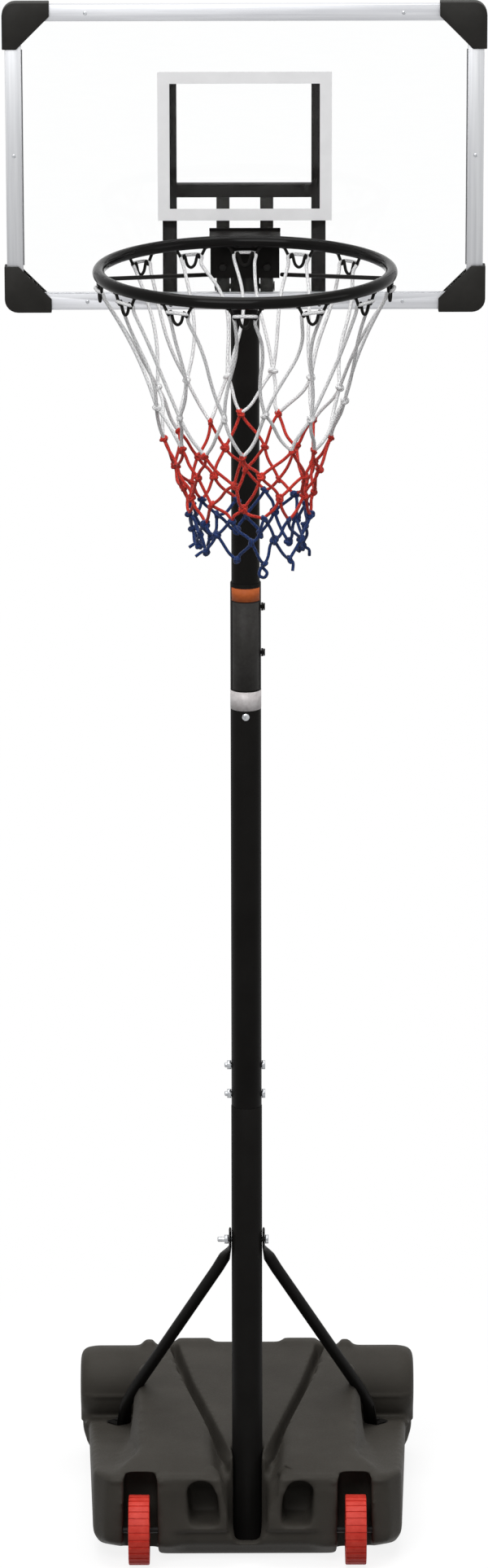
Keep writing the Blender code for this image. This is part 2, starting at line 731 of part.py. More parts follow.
def bolt(name, seat, length, axis, at, size="M8", look="steel", parent=None, sides=12):
    """Hex bolt: its head sits on seat, its shank runs length towards minus local Z."""
    radius, corner, head = (M8_R, M8_CORNER_R, M8_HEAD) if size == "M8" else (M6_R, M6_CORNER_R, M6_HEAD)
    bm = bmesh.new()
    profile = [(seat - length, radius * 0.75), (seat - length + radius * 0.4, radius), (seat, radius),
               (seat, corner, HEX_FLAT), (seat + head, corner, HEX_FLAT)]
    turned(bm, profile, sides, along(axis, at))
    return add_object(name, bm, look, at=at, parent=parent)


def nut(name, seat, axis, at, look="steel", parent=None, thick=M8_NUT, corner=M8_CORNER_R, radius=M8_R):
    """Hex nut whose face sits on seat, with a clearance bore."""
    bm = bmesh.new()
    bore = radius + BOLT_GAP
    profile = [(seat, bore), (seat, corner, HEX_FLAT), (seat + thick, corner, HEX_FLAT), (seat + thick, bore)]
    turned(bm, profile, 12, along(axis, at), closed=True)
    return add_object(name, bm, look, at=at, parent=parent)


def joint_bolts():
    seat = MIDDLE_R + GAP
    length = 2 * seat + M8_NUT + JOINT_BOLT_STICK_OUT
    for z, word in zip(JOINT_BOLT_Z, ("upper", "lower")):
        bolt(f"joint_bolt_{word}", seat, length, "+X", (0, 0, z))
        nut(f"joint_nut_{word}", seat, "-X", (0, 0, z))


def strut_bolt():
    seat = LOWER_R + STRUT_FLAT_T + 2 * GAP
    bolt("strut_bolt", seat, 2 * seat + M8_NUT + STRUT_BOLT_STICK_OUT, "+X", (0, 0, STRUT_BOLT_Z))
    nut("strut_nut", seat, "-X", (0, 0, STRUT_BOLT_Z))


def foot_pin():
    bm = bmesh.new()
    turned(bm, [(-FOOT_PIN_HALF, M8_R), (FOOT_PIN_HALF, M8_R)], 12, along("+X", (0, 0, FOOT_PIN_Z)))
    add_object("foot_cross_pin", bm, "steel", smooth=True)


def clamp_screws():
    """Two screws in welded nuts that press on the sliding tube, and the short lock screw in front."""
    seat = MIDDLE_R + GAP
    for z, word in zip(CLAMP_SCREW_Z, ("upper", "lower")):
        nut(f"weld_nut_{word}", seat, "+X", (0, 0, z), look="pole", thick=CLAMP_NUT_LEN, corner=CLAMP_NUT_R,
            radius=M6_R)
        head = seat + CLAMP_NUT_LEN + GAP
        bolt(f"clamp_screw_{word}", head, head - UPPER_R - GAP, "+X", (0, 0, z), size="M6", look="pole")
    bm = bmesh.new()
    dome = LOCK_HEAD_R * 0.55
    turned(bm, [(UPPER_R + GAP, LOCK_SHANK_R), (seat, LOCK_SHANK_R), (seat, LOCK_HEAD_R),
                (seat + LOCK_HEAD * 0.6, LOCK_HEAD_R * 0.93), (seat + LOCK_HEAD, dome)], 20,
           along("-Y", (0, 0, LOCK_SCREW_Z)))
    add_object("lock_screw", bm, "steel", at=(0, 0, LOCK_SCREW_Z), smooth=True)


# Struts

def strut_foot(side):
    """Placement on the deck where a strut's screw enters: local Z is the deck's normal."""
    spot = (side * STRUT_FOOT_X, STRUT_FOOT_Y, deck_height(STRUT_FOOT_Y))
    slope = deck_height(1.0) - deck_height(0.0)
    return Matrix.Translation(spot) @ Matrix.Rotation(math.atan(slope), 4, "X")


def strut_stations(side):
    """Points, half widths and lift directions along a strut from the pole to the deck."""
    flat = STRUT_FLAT_T / 2
    wide = STRUT_FLAT_W / 2
    x0 = LOWER_R + GAP + flat
    deck = strut_foot(1)
    foot = deck.translation
    behind = Vector((0, 1, 0))
    normal = (deck.to_3x3() @ Vector((0, 0, 1))).normalized()
    lay = flat + GAP
    rows = [
        ((x0, 0.0, STRUT_BOLT_Z + 0.016), flat, wide * 0.72, behind),
        ((x0, 0.0, STRUT_BOLT_Z + 0.008), flat, wide, behind),
        ((x0, 0.001, STRUT_BOLT_Z - 0.014), flat, wide * 0.95, behind),
        ((x0 + 0.009, 0.012, STRUT_BOLT_Z - 0.034), STRUT_R, STRUT_R, behind),
        ((x0 + 0.020, 0.026, STRUT_BOLT_Z - 0.058), STRUT_R, STRUT_R, behind),
        ((foot.x - 0.030, foot.y - 0.040, foot.z + 0.075), STRUT_R, STRUT_R, behind),
        ((foot.x - 0.020, foot.y - 0.027, foot.z + 0.040), STRUT_R, STRUT_R, behind),
        (deck @ Vector((-0.0090, -0.0115, lay)), wide * 0.95, flat, normal),
        (deck @ Vector((0.0080, 0.0100, lay)), wide, flat, normal),
    ]
    mirror = Vector((side, 1, 1))
    return [(Vector(p) * mirror, a, b, lift * mirror) for p, a, b, lift in rows]


def strut(side, name):
    """Round tube with both ends flattened: the upper against the pole, the lower on the deck."""
    rows = strut_stations(side)
    frames = []
    for i, (point, half, thick, lift) in enumerate(rows):
        before = rows[max(i - 1, 0)][0]
        after = rows[min(i + 1, len(rows) - 1)][0]
        forward = (after - before).normalized()
        if i < 3:
            forward = Vector((0, 0, -1))
        if i == len(rows) - 2:
            forward = (after - point).normalized()
        level = (lift - forward * lift.dot(forward)).normalized()
        spin = Matrix((level.cross(forward), level, forward)).transposed().to_4x4()
        frames.append(Matrix.Translation(point) @ spin @ Matrix.Diagonal((half, thick, 1.0, 1.0)))
    bm = bmesh.new()
    loft(bm, frames, 12)
    body = add_object(name, bm, "pole", smooth=True)
    holes = bmesh.new()
    ends = sorted((side * (LOWER_R - 0.006), side * (LOWER_R + 0.016)))
    turned(holes, [(end, M8_R + BOLT_GAP) for end in ends], 12, along("+X", (0, 0, STRUT_BOLT_Z)))
    bore = STRUT_SCREW_R + BOLT_GAP
    turned(holes, [(-0.01, bore), (0.03, bore)], 12, strut_foot(side))
    cut(body, guide(f"{name}_guide", holes))


def strut_screw(side, name):
    seat = STRUT_FLAT_T + 2 * GAP
    bm = bmesh.new()
    turned(bm, [(-0.028, STRUT_SCREW_R * 0.6), (-0.022, STRUT_SCREW_R), (seat, STRUT_SCREW_R),
                (seat, M6_CORNER_R, HEX_FLAT), (seat + M6_HEAD, M6_CORNER_R, HEX_FLAT)], 12, strut_foot(side))
    add_object(name, bm, "steel")


# Backboard

def channel(length):
    """U section with its slot towards local +Y, pushed out along local Z."""
    half = BAR_DEPTH / 2
    slot = SHEET_T / 2 + GAP
    return [(-half, 0), (half, 0), (half, BAR_FACE), (slot, BAR_FACE), (slot, BAR_FACE - SLOT_DEPTH),
            (-slot, BAR_FACE - SLOT_DEPTH), (-slot, BAR_FACE), (-half, BAR_FACE)]


def board_bars(lift):
    """Four channel bars; the upright ones stand between the level ones."""
    half_w = BOARD_W / 2
    # Local X becomes world -Y or +Y, local Y the way to the board's middle, local Z the bar's run
    level = half_w - BAR_END_TRIM
    last = (0, 0, 0, 1)
    level_low = Matrix(((0, 0, 1, -level), (1, 0, 0, BAR_MID), (0, 1, 0, BOARD_BOTTOM), last))
    level_high = Matrix(((0, 0, 1, -level), (1, 0, 0, BAR_MID), (0, -1, 0, BOARD_TOP), last))
    low = BOARD_BOTTOM + BAR_FACE + GAP
    upright = BOARD_H - 2 * (BAR_FACE + GAP)
    left = Matrix(((0, 1, 0, -half_w), (1, 0, 0, BAR_MID), (0, 0, 1, low), last))
    right = Matrix(((0, -1, 0, half_w), (1, 0, 0, BAR_MID), (0, 0, 1, low), last))
    runs = (("bar_bottom", level_low, 2 * level), ("bar_top", level_high, 2 * level),
            ("bar_left", left, upright), ("bar_right", right, upright))
    for name, place, length in runs:
        bm = bmesh.new()
        prism(bm, channel(length), length, place)
        bar = add_object(name, bm, "aluminium", at=lift.location, parent=lift)
        if name == "bar_bottom":
            holes = bmesh.new()
            for side in (1, -1):
                turned(holes, [(-0.001, 0.0025 + BOLT_GAP), (0.05, 0.0025 + BOLT_GAP)], 10,
                       along("-Y", (side * FRAME_HALF, BAR_BACK, frame_screw_z())))
            cut(bar, guide("bar_hole_guide", holes, lift))


def frame_screw_z():
    """Height of the two screws that hold the frame's feet to the bottom bar."""
    return BOARD_BOTTOM + (BAR_FACE - SLOT_DEPTH) / 2


def board_sheet(lift):
    edge = BAR_FACE - SLOT_DEPTH + 0.001
    half = BOARD_W / 2 - edge
    bm = bmesh.new()
    box(bm, (-half, half), (SHEET_FRONT, SHEET_BACK), (BOARD_BOTTOM + edge, BOARD_TOP - edge))
    sheet = add_object("board_sheet", bm, "clear", at=lift.location, parent=lift)
    holes = bmesh.new()
    for x, z in rim_bolt_spots():
        bore = M6_R + BOLT_GAP
        turned(holes, [(-0.01, bore), (0.01, bore)], 12, along("+Y", (x, SHEET_FRONT, z)))
    cut(sheet, guide("sheet_hole_guide", holes, lift))


def corner_cap(side, up, name, lift):
    """Moulded corner that wraps the bars: a hollow pocket with a slanting inner edge."""
    out_x = BOARD_W / 2 + CAP_RIM
    out_z = BOARD_TOP + CAP_RIM if up > 0 else BOARD_BOTTOM - CAP_RIM
    r = CAP_CORNER_R
    outline = [(CAP_LEG, 0.0), (CAP_LEG, CAP_END), (CAP_END + 0.004, CAP_LEG - 0.004), (CAP_END, CAP_LEG),
               (0.0, CAP_LEG)]
    outline += [(r - r * math.cos(a), r - r * math.sin(a)) for a in map(math.radians, range(0, 91, 15))]
    front = BAR_FRONT - GAP - CAP_FRONT
    place = Matrix(((-side, 0, 0, side * out_x), (0, 0, 1, front), (0, -up, 0, out_z), (0, 0, 0, 1)))
    bm = bmesh.new()
    depth = CAP_FRONT + BAR_DEPTH + 2 * GAP + CAP_BACK
    prism(bm, outline, depth, place)
    cap = add_object(name, bm, "capplastic", at=lift.location, parent=lift)
    # The pocket follows both bars, and the level bar stops short of the rounded corner
    edge = CAP_RIM - GAP
    short = edge + BAR_END_TRIM
    under = CAP_RIM + BAR_FACE
    far = 0.15
    room = [(short, edge), (far, edge), (far, far), (edge, far), (edge, under), (short, under)]
    pocket = bmesh.new()
    prism(pocket, room, BAR_DEPTH + 2 * GAP, place @ Matrix.Translation((0, 0, CAP_FRONT)))
    cut(cap, guide(f"{name}_guide", pocket, lift))


def target_square(lift):
    """White band stuck on the front of the sheet."""
    half = SQUARE_W / 2
    top = SQUARE_BOTTOM + SQUARE_H
    front = SHEET_FRONT - GAP - SQUARE_T
    bm = bmesh.new()
    box(bm, (-half, half), (front, front + SQUARE_T), (SQUARE_BOTTOM, top))
    band = add_object("target_square", bm, "vinyl", at=lift.location, parent=lift)
    window = bmesh.new()
    box(window, (-half + SQUARE_BAND, half - SQUARE_BAND), (front - 0.01, front + 0.01),
        (SQUARE_BOTTOM + SQUARE_BAND, top - SQUARE_BAND))
    cut(band, guide("window_guide", window, lift))


def back_frame(lift):
    """Welded square tubes: two outer uprights, a crossbar and two deeper tubes beside the pole."""
    half = FRAME_TUBE / 2
    back = FRAME_FRONT + FRAME_TUBE
    deep = FRAME_FRONT + STRADDLE_D
    low_bar = CROSSBAR_TOP - FRAME_TUBE
    wall = FRAME_WALL
    bm = bmesh.new()
    box(bm, (-FRAME_HALF - half, -FRAME_HALF + half), (FRAME_FRONT, back), (BOARD_BOTTOM, FRAME_TOP))
    frame = add_object("back_frame", bm, "pole", at=lift.location, parent=lift)
    pieces = (
        ("frame_right_guide", (FRAME_HALF - half, FRAME_HALF + half), (FRAME_FRONT, back),
         (BOARD_BOTTOM, FRAME_TOP)),
        ("crossbar_guide", (-FRAME_HALF, FRAME_HALF), (FRAME_FRONT, back), (low_bar, CROSSBAR_TOP)),
        ("straddle_left_guide", (-STRADDLE_X - STRADDLE_W / 2, -STRADDLE_X + STRADDLE_W / 2),
         (FRAME_FRONT, deep), (BOARD_BOTTOM, low_bar + wall)),
        ("straddle_right_guide", (STRADDLE_X - STRADDLE_W / 2, STRADDLE_X + STRADDLE_W / 2),
         (FRAME_FRONT, deep), (BOARD_BOTTOM, low_bar + wall)),
    )
    for name, x, y, z in pieces:
        solid = bmesh.new()
        box(solid, x, y, z)
        cut(frame, guide(name, solid, lift), "UNION")
    hollows = (
        ("bore_left_guide", (-FRAME_HALF - half + wall, -FRAME_HALF + half - wall),
         (FRAME_FRONT + wall, back - wall), (BOARD_BOTTOM - 0.01, FRAME_TOP + 0.01)),
        ("bore_right_guide", (FRAME_HALF - half + wall, FRAME_HALF + half - wall),
         (FRAME_FRONT + wall, back - wall), (BOARD_BOTTOM - 0.01, FRAME_TOP + 0.01)),
        ("bore_cross_guide", (-FRAME_HALF, FRAME_HALF), (FRAME_FRONT + wall, back - wall),
         (low_bar + wall, CROSSBAR_TOP - wall)),
        ("bore_mid_left_guide", (-STRADDLE_X - STRADDLE_W / 2 + wall, -STRADDLE_X + STRADDLE_W / 2 - wall),
         (FRAME_FRONT + wall, deep - wall), (BOARD_BOTTOM - 0.01, low_bar - wall)),
        ("bore_mid_right_guide", (STRADDLE_X - STRADDLE_W / 2 + wall, STRADDLE_X + STRADDLE_W / 2 - wall),
         (FRAME_FRONT + wall, deep - wall), (BOARD_BOTTOM - 0.01, low_bar - wall)),
    )
    for name, x, y, z in hollows:
        solid = bmesh.new()
        box(solid, x, y, z)
        cut(frame, guide(name, solid, lift))
    holes = bmesh.new()
    for z in FRAME_BOLT_Z:
        cross_hole(holes, z, M8_R + BOLT_GAP, 0.07)
    for x, z in rim_bolt_spots():
        bore = M6_R + BOLT_GAP
        turned(holes, [(-0.01, bore), (0.01, bore)], 12, along("+Y", (x, FRAME_FRONT, z)))
    for side in (1, -1):
        turned(holes, [(-0.01, 0.0025 + BOLT_GAP), (0.04, 0.0025 + BOLT_GAP)], 10,
               along("+Y", (side * FRAME_HALF, FRAME_FRONT, frame_screw_z())))
    cut(frame, guide("frame_hole_guide", holes, lift))


def frame_bolts(lift):
    seat = STRADDLE_X + STRADDLE_W / 2 + GAP
    length = 2 * seat + M8_NUT + 0.002
    for z, word in zip(FRAME_BOLT_Z, ("upper", "lower")):
        bolt(f"frame_bolt_{word}", seat, length, "+X", (0, 0, z), parent=lift)
        nut(f"frame_nut_{word}", seat, "-X", (0, 0, z), parent=lift)


def frame_fittings(lift):
    """Spacer strips, top pads and the two rear screws between the frame and the board."""
    front, back = SHEET_BACK + GAP, FRAME_FRONT - GAP
    for side, word in ((1, "right"), (-1, "left")):
        bm = bmesh.new()
        x = sorted((side * (STRADDLE_X - STRADDLE_W / 2), side * (STRADDLE_X + STRADDLE_W / 2)))
        box(bm, x, (front, back), (BOARD_BOTTOM + BAR_FACE + 0.002, CROSSBAR_TOP - FRAME_TUBE))
        spacer = add_object(f"spacer_{word}", bm, "capplastic", at=lift.location, parent=lift)
        holes = bmesh.new()
        for spot_x, z in rim_bolt_spots():
            if spot_x * side > 0:
                bore = M6_R + BOLT_GAP
                turned(holes, [(-0.01, bore), (0.02, bore)], 12, along("+Y", (spot_x, front, z)))
        cut(spacer, guide(f"spacer_{word}_guide", holes, lift))
        bm = bmesh.new()
        x = sorted((side * (FRAME_HALF - FRAME_TUBE / 2), side * (FRAME_HALF + FRAME_TUBE / 2)))
        box(bm, x, (front, back), (FRAME_TOP - FRAME_PAD_H, FRAME_TOP))
        add_object(f"frame_pad_{word}", bm, "capplastic", at=lift.location, parent=lift)
        bm = bmesh.new()
        seat = FRAME_FRONT + FRAME_TUBE + GAP
        profile = [(seat - FRAME_TUBE - 0.006, 0.0020), (seat - FRAME_TUBE - 0.005, 0.0025), (seat, 0.0025),
                   (seat, 0.0045), (seat + 0.003, 0.0030)]
        turned(bm, profile, 10, along("+Y", (side * FRAME_HALF, 0, frame_screw_z())))
        add_object(f"frame_screw_{word}", bm, "steel", at=lift.location, parent=lift)


# Rim

def rim_bolt_spots():
    """The four holes that fix the rim bracket through the sheet."""
    heights = (RING_Z - RIM_BOLT_LOW, RING_Z - RIM_BOLT_HIGH)
    return [(side * RIM_BOLT_X, z) for side in (1, -1) for z in heights]


def rim_bracket(lift):
    """Folded plate: a back plate on the board and a top flange whose front edge follows the ring."""
    face = SHEET_FRONT - GAP
    top = RING_Z + FLANGE_TOP
    bm = bmesh.new()
    box(bm, (-BRACKET_HALF, BRACKET_HALF), (face - BRACKET_SHEET, face), (RING_Z - BRACKET_DROP, top))
    bracket = add_object("rim_bracket", bm, "gloss", at=lift.location, parent=lift)
    reach = RING_RADIUS + math.sqrt(RING_TUBE_R ** 2 - (FLANGE_TOP - BRACKET_SHEET / 2) ** 2) + GAP
    edge = math.degrees(math.asin(FLANGE_HALF / reach))
    bow = arc((0.0, RING_Y), reach, 90 - edge, 90 + edge, 10)
    outline = [(-FLANGE_HALF, face)] + [(FLANGE_HALF, face)] + bow
    flange = bmesh.new()
    prism(flange, outline, BRACKET_SHEET, Matrix.Translation((0, 0, top - BRACKET_SHEET)))
    cut(bracket, guide("flange_guide", flange, lift), "UNION")
    holes = bmesh.new()
    for x, z in rim_bolt_spots():
        turned(holes, [(-0.01, M6_R + BOLT_GAP), (0.01, M6_R + BOLT_GAP)], 12, along("+Y", (x, face, z)))
    cut(bracket, guide("bracket_hole_guide", holes, lift))


def rim_bolts(lift):
    seat = -(SHEET_FRONT - GAP - BRACKET_SHEET - GAP)
    length = seat + FRAME_FRONT + 0.006
    for i, (x, z) in enumerate(rim_bolt_spots()):
        bolt(f"rim_bolt_{i + 1}", seat, length, "-Y", (x, 0, z), size="M6", parent=lift)


def ring_point(angle, radius, z):
    """A point at an angle from the front of the ring."""
    a = math.radians(angle)
    return Vector((radius * math.sin(a), RING_Y - radius * math.cos(a), z))


def hook_path(angle):
    """Bent wire under the ring: two slanting legs, two notches and a hanging bend."""
    a = math.radians(angle)
    tangent = Vector((math.cos(a), math.sin(a), 0))
    top = RING_Z - RING_TUBE_R * 0.7
    foot = RING_Z - RING_TUBE_R - HOOK_DROP
    legs = ((HOOK_HALF, top), (HOOK_HALF * 0.60, top - HOOK_DROP * 0.62),
            (HOOK_HALF * 0.46, top - HOOK_DROP * 0.44), (HOOK_HALF * 0.22, foot + HOOK_DROP * 0.14),
            (0.0, foot))
    centre = ring_point(angle, RING_RADIUS, 0)
    left = [centre - tangent * t + Vector((0, 0, z)) for t, z in legs]
    right = [centre + tangent * t + Vector((0, 0, z)) for t, z in legs[:-1]]
    return left + right[::-1]


def rim_ring(lift):
    """Bent tube ring with twelve welded wire hooks."""
    bm = bmesh.new()
    frames = []
    for i in range(RING_STEPS):
        turn = Matrix.Rotation(2 * math.pi * i / RING_STEPS, 4, "Z")
        place = Matrix.Translation((0, RING_Y, RING_Z)) @ turn @ Matrix.Translation((RING_RADIUS, 0, 0))
        frames.append(place @ Matrix.Rotation(math.pi / 2, 4, "X") @ Matrix.Scale(RING_TUBE_R, 4))
    loft(bm, frames, RING_SIDES, closed=True)
    ring = add_object("rim_ring", bm, "gloss", at=lift.location, parent=lift, smooth=True)
    hooks = bmesh.new()
    for angle in HOOK_ANGLES:
        a = math.radians(angle)
        outward = Vector((math.sin(a), -math.cos(a), 0))
        path = hook_path(angle)
        sweep(hooks, path, [(HOOK_WIRE_R, HOOK_WIRE_R)] * len(path), 5, up=outward)
    cut(ring, guide("hook_guide", hooks, lift), "UNION")


def brace(side, name, lift):
    """Rod from the bracket's lower corner up to the side of the ring."""
    corner = side * (BRACKET_HALF + BRACE_R + GAP)
    start = Vector((corner, SHEET_FRONT - 0.006, RING_Z - BRACKET_DROP + 0.006))
    inset = RING_TUBE_R + BRACE_R * 0.8 + GAP
    end = ring_point(side * BRACE_ANGLE, RING_RADIUS - inset * 0.80, RING_Z - inset * 0.60)
    bm = bmesh.new()
    sweep(bm, [start, start + (end - start) * 0.5, end], [(BRACE_R, BRACE_R)] * 3, 10)
    add_object(name, bm, "gloss", at=lift.location, parent=lift, smooth=True)


# Net

def knot_angle(row, loop):
    """Angle of a knot: the rows even out from the hooks' places to equal steps."""
    count = len(HOOK_ANGLES)
    even = 360 / count
    blend = min(row / 3.0, 1.0)

    def at(index):
        turns, slot = divmod(index, count)
        hooked = HOOK_ANGLES[slot] + 360 * turns
        return hooked * (1 - blend) + even * index * blend

    if row % 2 == 0:
        return at(loop)
    return (at(loop) + at(loop + 1)) / 2


def net_part(name, first, last, look, lift):
    """Diamond mesh of flat cord between two rows of knots, thickened."""
    count = len(HOOK_ANGLES)
    bm = bmesh.new()
    rows = {}
    for row in range(first, last + 1):
        drop, share = NET_ROWS[row]
        if row == first and first > 0:
            drop += KNOT_GAP
        if row == last and last < len(NET_ROWS) - 1:
            drop -= KNOT_GAP
        spots = [ring_point(knot_angle(row, i), RING_RADIUS * share, NET_TOP - drop) for i in range(count)]
        rows[row] = [bm.verts.new(spot) for spot in spots]
    shift = [0 if row % 2 else -1 for row in range(last + 1)]
    for row in range(first, last - 1):
        for i in range(count):
            left = (i + shift[row]) % count
            corners = (rows[row][i], rows[row + 1][left], rows[row + 2][i], rows[row + 1][(left + 1) % count])
            bm.faces.new(corners)
    # Half diamonds close the strips at both ends; their level edge carries no cord
    for row, inner in ((first, first + 1), (last, last - 1)):
        for i in range(count):
            between = (i + shift[row] + 1) % count
            bm.faces.new((rows[row][i], rows[inner][between], rows[row][(i + 1) % count]))
    ends = set(rows[first]) | set(rows[last])
    bm.normal_update()
    openings = bm.faces[:]
    strips = bmesh.ops.inset_individual(bm, faces=openings, thickness=CORD / 2, use_even_offset=True)["faces"]
    level = [f for f in strips if sum(v in ends for v in f.verts) == 2]
    bmesh.ops.delete(bm, geom=openings + level, context="FACES")
    net = add_object(name, bm, look, at=lift.location, parent=lift)
    thick = net.modifiers.new("cord", "SOLIDIFY")
    thick.thickness = CORD
    thick.offset = 0.0


# The whole stand

def build():
    clear_scene()
    base_tank()
    ballast_fill()
    fill_cap()
    for side, word in ((-1, "left"), (1, "right")):
        axle(side, f"axle_{word}")
        wheel(side, f"wheel_{word}")
        strut(side, f"strut_{word}")
        strut_screw(side, f"strut_screw_{word}")
    lower_pole()
    middle_pole()
    joint_bolts()
    strut_bolt()
    foot_pin()
    clamp_screws()

    lift = add_empty("height_slide", (0, 0, MIDDLE_TOP_Z))
    upper_pole(lift)
    pole_cap(lift)
    back_frame(lift)
    frame_bolts(lift)
    frame_fittings(lift)
    board_sheet(lift)
    board_bars(lift)
    for side, word in ((-1, "left"), (1, "right")):
        for up, level in ((1, "top"), (-1, "bottom")):
            corner_cap(side, up, f"corner_{level}_{word}", lift)
        brace(side, f"brace_{word}", lift)
    target_square(lift)
    rim_bracket(lift)
    rim_bolts(lift)
    rim_ring(lift)
    red_from = WHITE_ROW_COUNT
    blue_from = red_from + RED_ROW_COUNT
    net_part("net_white", 0, red_from, "white", lift)
    net_part("net_red", red_from, blue_from, "red", lift)
    net_part("net_blue", blue_from, len(NET_ROWS) - 1, "blue", lift)


build()
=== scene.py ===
import json
import math
import random

import bmesh
import bpy
from mathutils import Matrix, Vector


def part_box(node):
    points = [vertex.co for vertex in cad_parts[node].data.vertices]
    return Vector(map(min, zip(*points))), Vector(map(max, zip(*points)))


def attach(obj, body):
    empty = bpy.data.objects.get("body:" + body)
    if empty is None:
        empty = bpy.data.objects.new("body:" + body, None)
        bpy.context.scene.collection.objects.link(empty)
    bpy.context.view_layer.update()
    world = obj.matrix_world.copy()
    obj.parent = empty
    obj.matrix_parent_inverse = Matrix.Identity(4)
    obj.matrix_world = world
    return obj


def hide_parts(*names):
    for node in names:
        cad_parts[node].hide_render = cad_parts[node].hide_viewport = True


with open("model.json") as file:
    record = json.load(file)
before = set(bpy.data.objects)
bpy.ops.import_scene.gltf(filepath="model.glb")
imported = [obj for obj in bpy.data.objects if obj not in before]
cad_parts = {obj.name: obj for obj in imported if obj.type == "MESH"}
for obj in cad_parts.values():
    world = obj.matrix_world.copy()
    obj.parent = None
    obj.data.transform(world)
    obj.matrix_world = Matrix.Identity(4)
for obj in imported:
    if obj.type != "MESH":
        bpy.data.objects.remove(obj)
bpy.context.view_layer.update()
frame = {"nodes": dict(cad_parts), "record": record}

# All lengths are in metres, unless a comment says otherwise
MM = 0.001

record = frame["record"]
slot_of = {row["node"]: row["material_slot"] for row in record["subparts"]}
body_of = {node: body for body, nodes in record["behaviour"]["bodies"].items() for node in nodes}


# Camera, lamps and floor

# The camera that fits the photo
PHOTO_HEIGHT_PX = 1926
FOCAL_PX = 8368.5
SENSOR_MM = 36.0
FAR_CLIP = 200.0
EYE = (-0.003, -10.0, 4.2143)
PITCH_DEG = 16.502
ROLL_DEG = -0.12

# Soft boxes: name, place, the point that it faces, width, watts
SOFT_BOXES = (
    ("top_box", (0.0, 0.3, 5.4), (0.0, 0.0, 0.0), 3.0, 122),
    ("front_box", (-0.8, -3.2, 4.3), (0.0, 0.0, 2.2), 2.6, 118),
    ("right_box", (3.2, -1.6, 2.4), (0.0, 0.0, 1.4), 1.6, 16),
)
# Strength of the white room, for what it lights and for what is seen of it
ROOM_LIGHT = 0.20
ROOM_SEEN = 1.0

FLOOR_RADIUS = 3.0
# Distances from the middle between which the painted floor turns into pure white
SHADOW_FADE = (0.55, 1.25)
# What the painted floor shows besides the light that falls on it
FLOOR_LIFT = 0.86


def set_camera():
    lens = bpy.data.cameras.new("camera")
    lens.sensor_fit = "VERTICAL"
    lens.sensor_height = SENSOR_MM
    lens.lens = FOCAL_PX / PHOTO_HEIGHT_PX * SENSOR_MM
    lens.clip_end = FAR_CLIP
    camera = bpy.data.objects.new("camera", lens)
    camera.location = EYE
    look = Matrix.Rotation(math.radians(90 - PITCH_DEG), 4, "X")
    camera.rotation_euler = (look @ Matrix.Rotation(math.radians(ROLL_DEG), 4, "Z")).to_euler()
    bpy.context.scene.collection.objects.link(camera)
    bpy.context.scene.camera = camera


def add_lamp(name, place, target, width, watts):
    """A square soft box that faces a point."""
    data = bpy.data.lights.new(name, "AREA")
    data.shape = "SQUARE"
    data.size = width
    data.energy = watts
    lamp = bpy.data.objects.new(name, data)
    lamp.location = place
    lamp.rotation_euler = (Vector(target) - Vector(place)).to_track_quat("-Z", "Y").to_euler()
    bpy.context.scene.collection.objects.link(lamp)


# Node helpers

def linear(colour):
    """An sRGB hex colour as linear RGBA."""
    parts = [int(colour[i:i + 2], 16) / 255 for i in (1, 3, 5)]
    return (*[v / 12.92 if v <= 0.04045 else ((v + 0.055) / 1.055) ** 2.4 for v in parts], 1.0)


WHITE = linear("#ffffff")


def node(tree, kind, inputs=None, **settings):
    """A shader node with its settings; an input is a value or another node's socket."""
    made = tree.nodes.new("ShaderNode" + kind)
    for key, value in settings.items():
        setattr(made, key, value)
    for key, value in (inputs or {}).items():
        if isinstance(value, bpy.types.NodeSocket):
            tree.links.new(value, made.inputs[key])
        else:
            made.inputs[key].default_value = value
    return made


def empty_look(name):
    """A new material and its empty node tree."""
    look = bpy.data.materials.new(name)
    look.use_nodes = True
    look.node_tree.nodes.clear()
    return look, look.node_tree


def seen_directly(tree):
    """1 for camera, glossy and transmitted rays, 0 for the light that falls on things."""
    path = node(tree, "LightPath")
    first = node(tree, "Math", {0: path.outputs["Is Camera Ray"], 1: path.outputs["Is Glossy Ray"]},
                 operation="MAXIMUM")
    both = node(tree, "Math", {0: first.outputs[0], 1: path.outputs["Is Transmission Ray"]},
                operation="MAXIMUM")
    return both.outputs[0]


def light_room():
    world = bpy.data.worlds.new("white_room")
    bpy.context.scene.world = world
    world.use_nodes = True
    tree = world.node_tree
    tree.nodes.clear()
    dim = node(tree, "Background", {"Color": WHITE, "Strength": ROOM_LIGHT})
    full = node(tree, "Background", {"Color": WHITE, "Strength": ROOM_SEEN})
    mix = node(tree, "MixShader", {0: seen_directly(tree), 1: dim.outputs[0], 2: full.outputs[0]})
    node(tree, "OutputWorld", {"Surface": mix.outputs[0]})
    for soft_box in SOFT_BOXES:
        add_lamp(*soft_box)


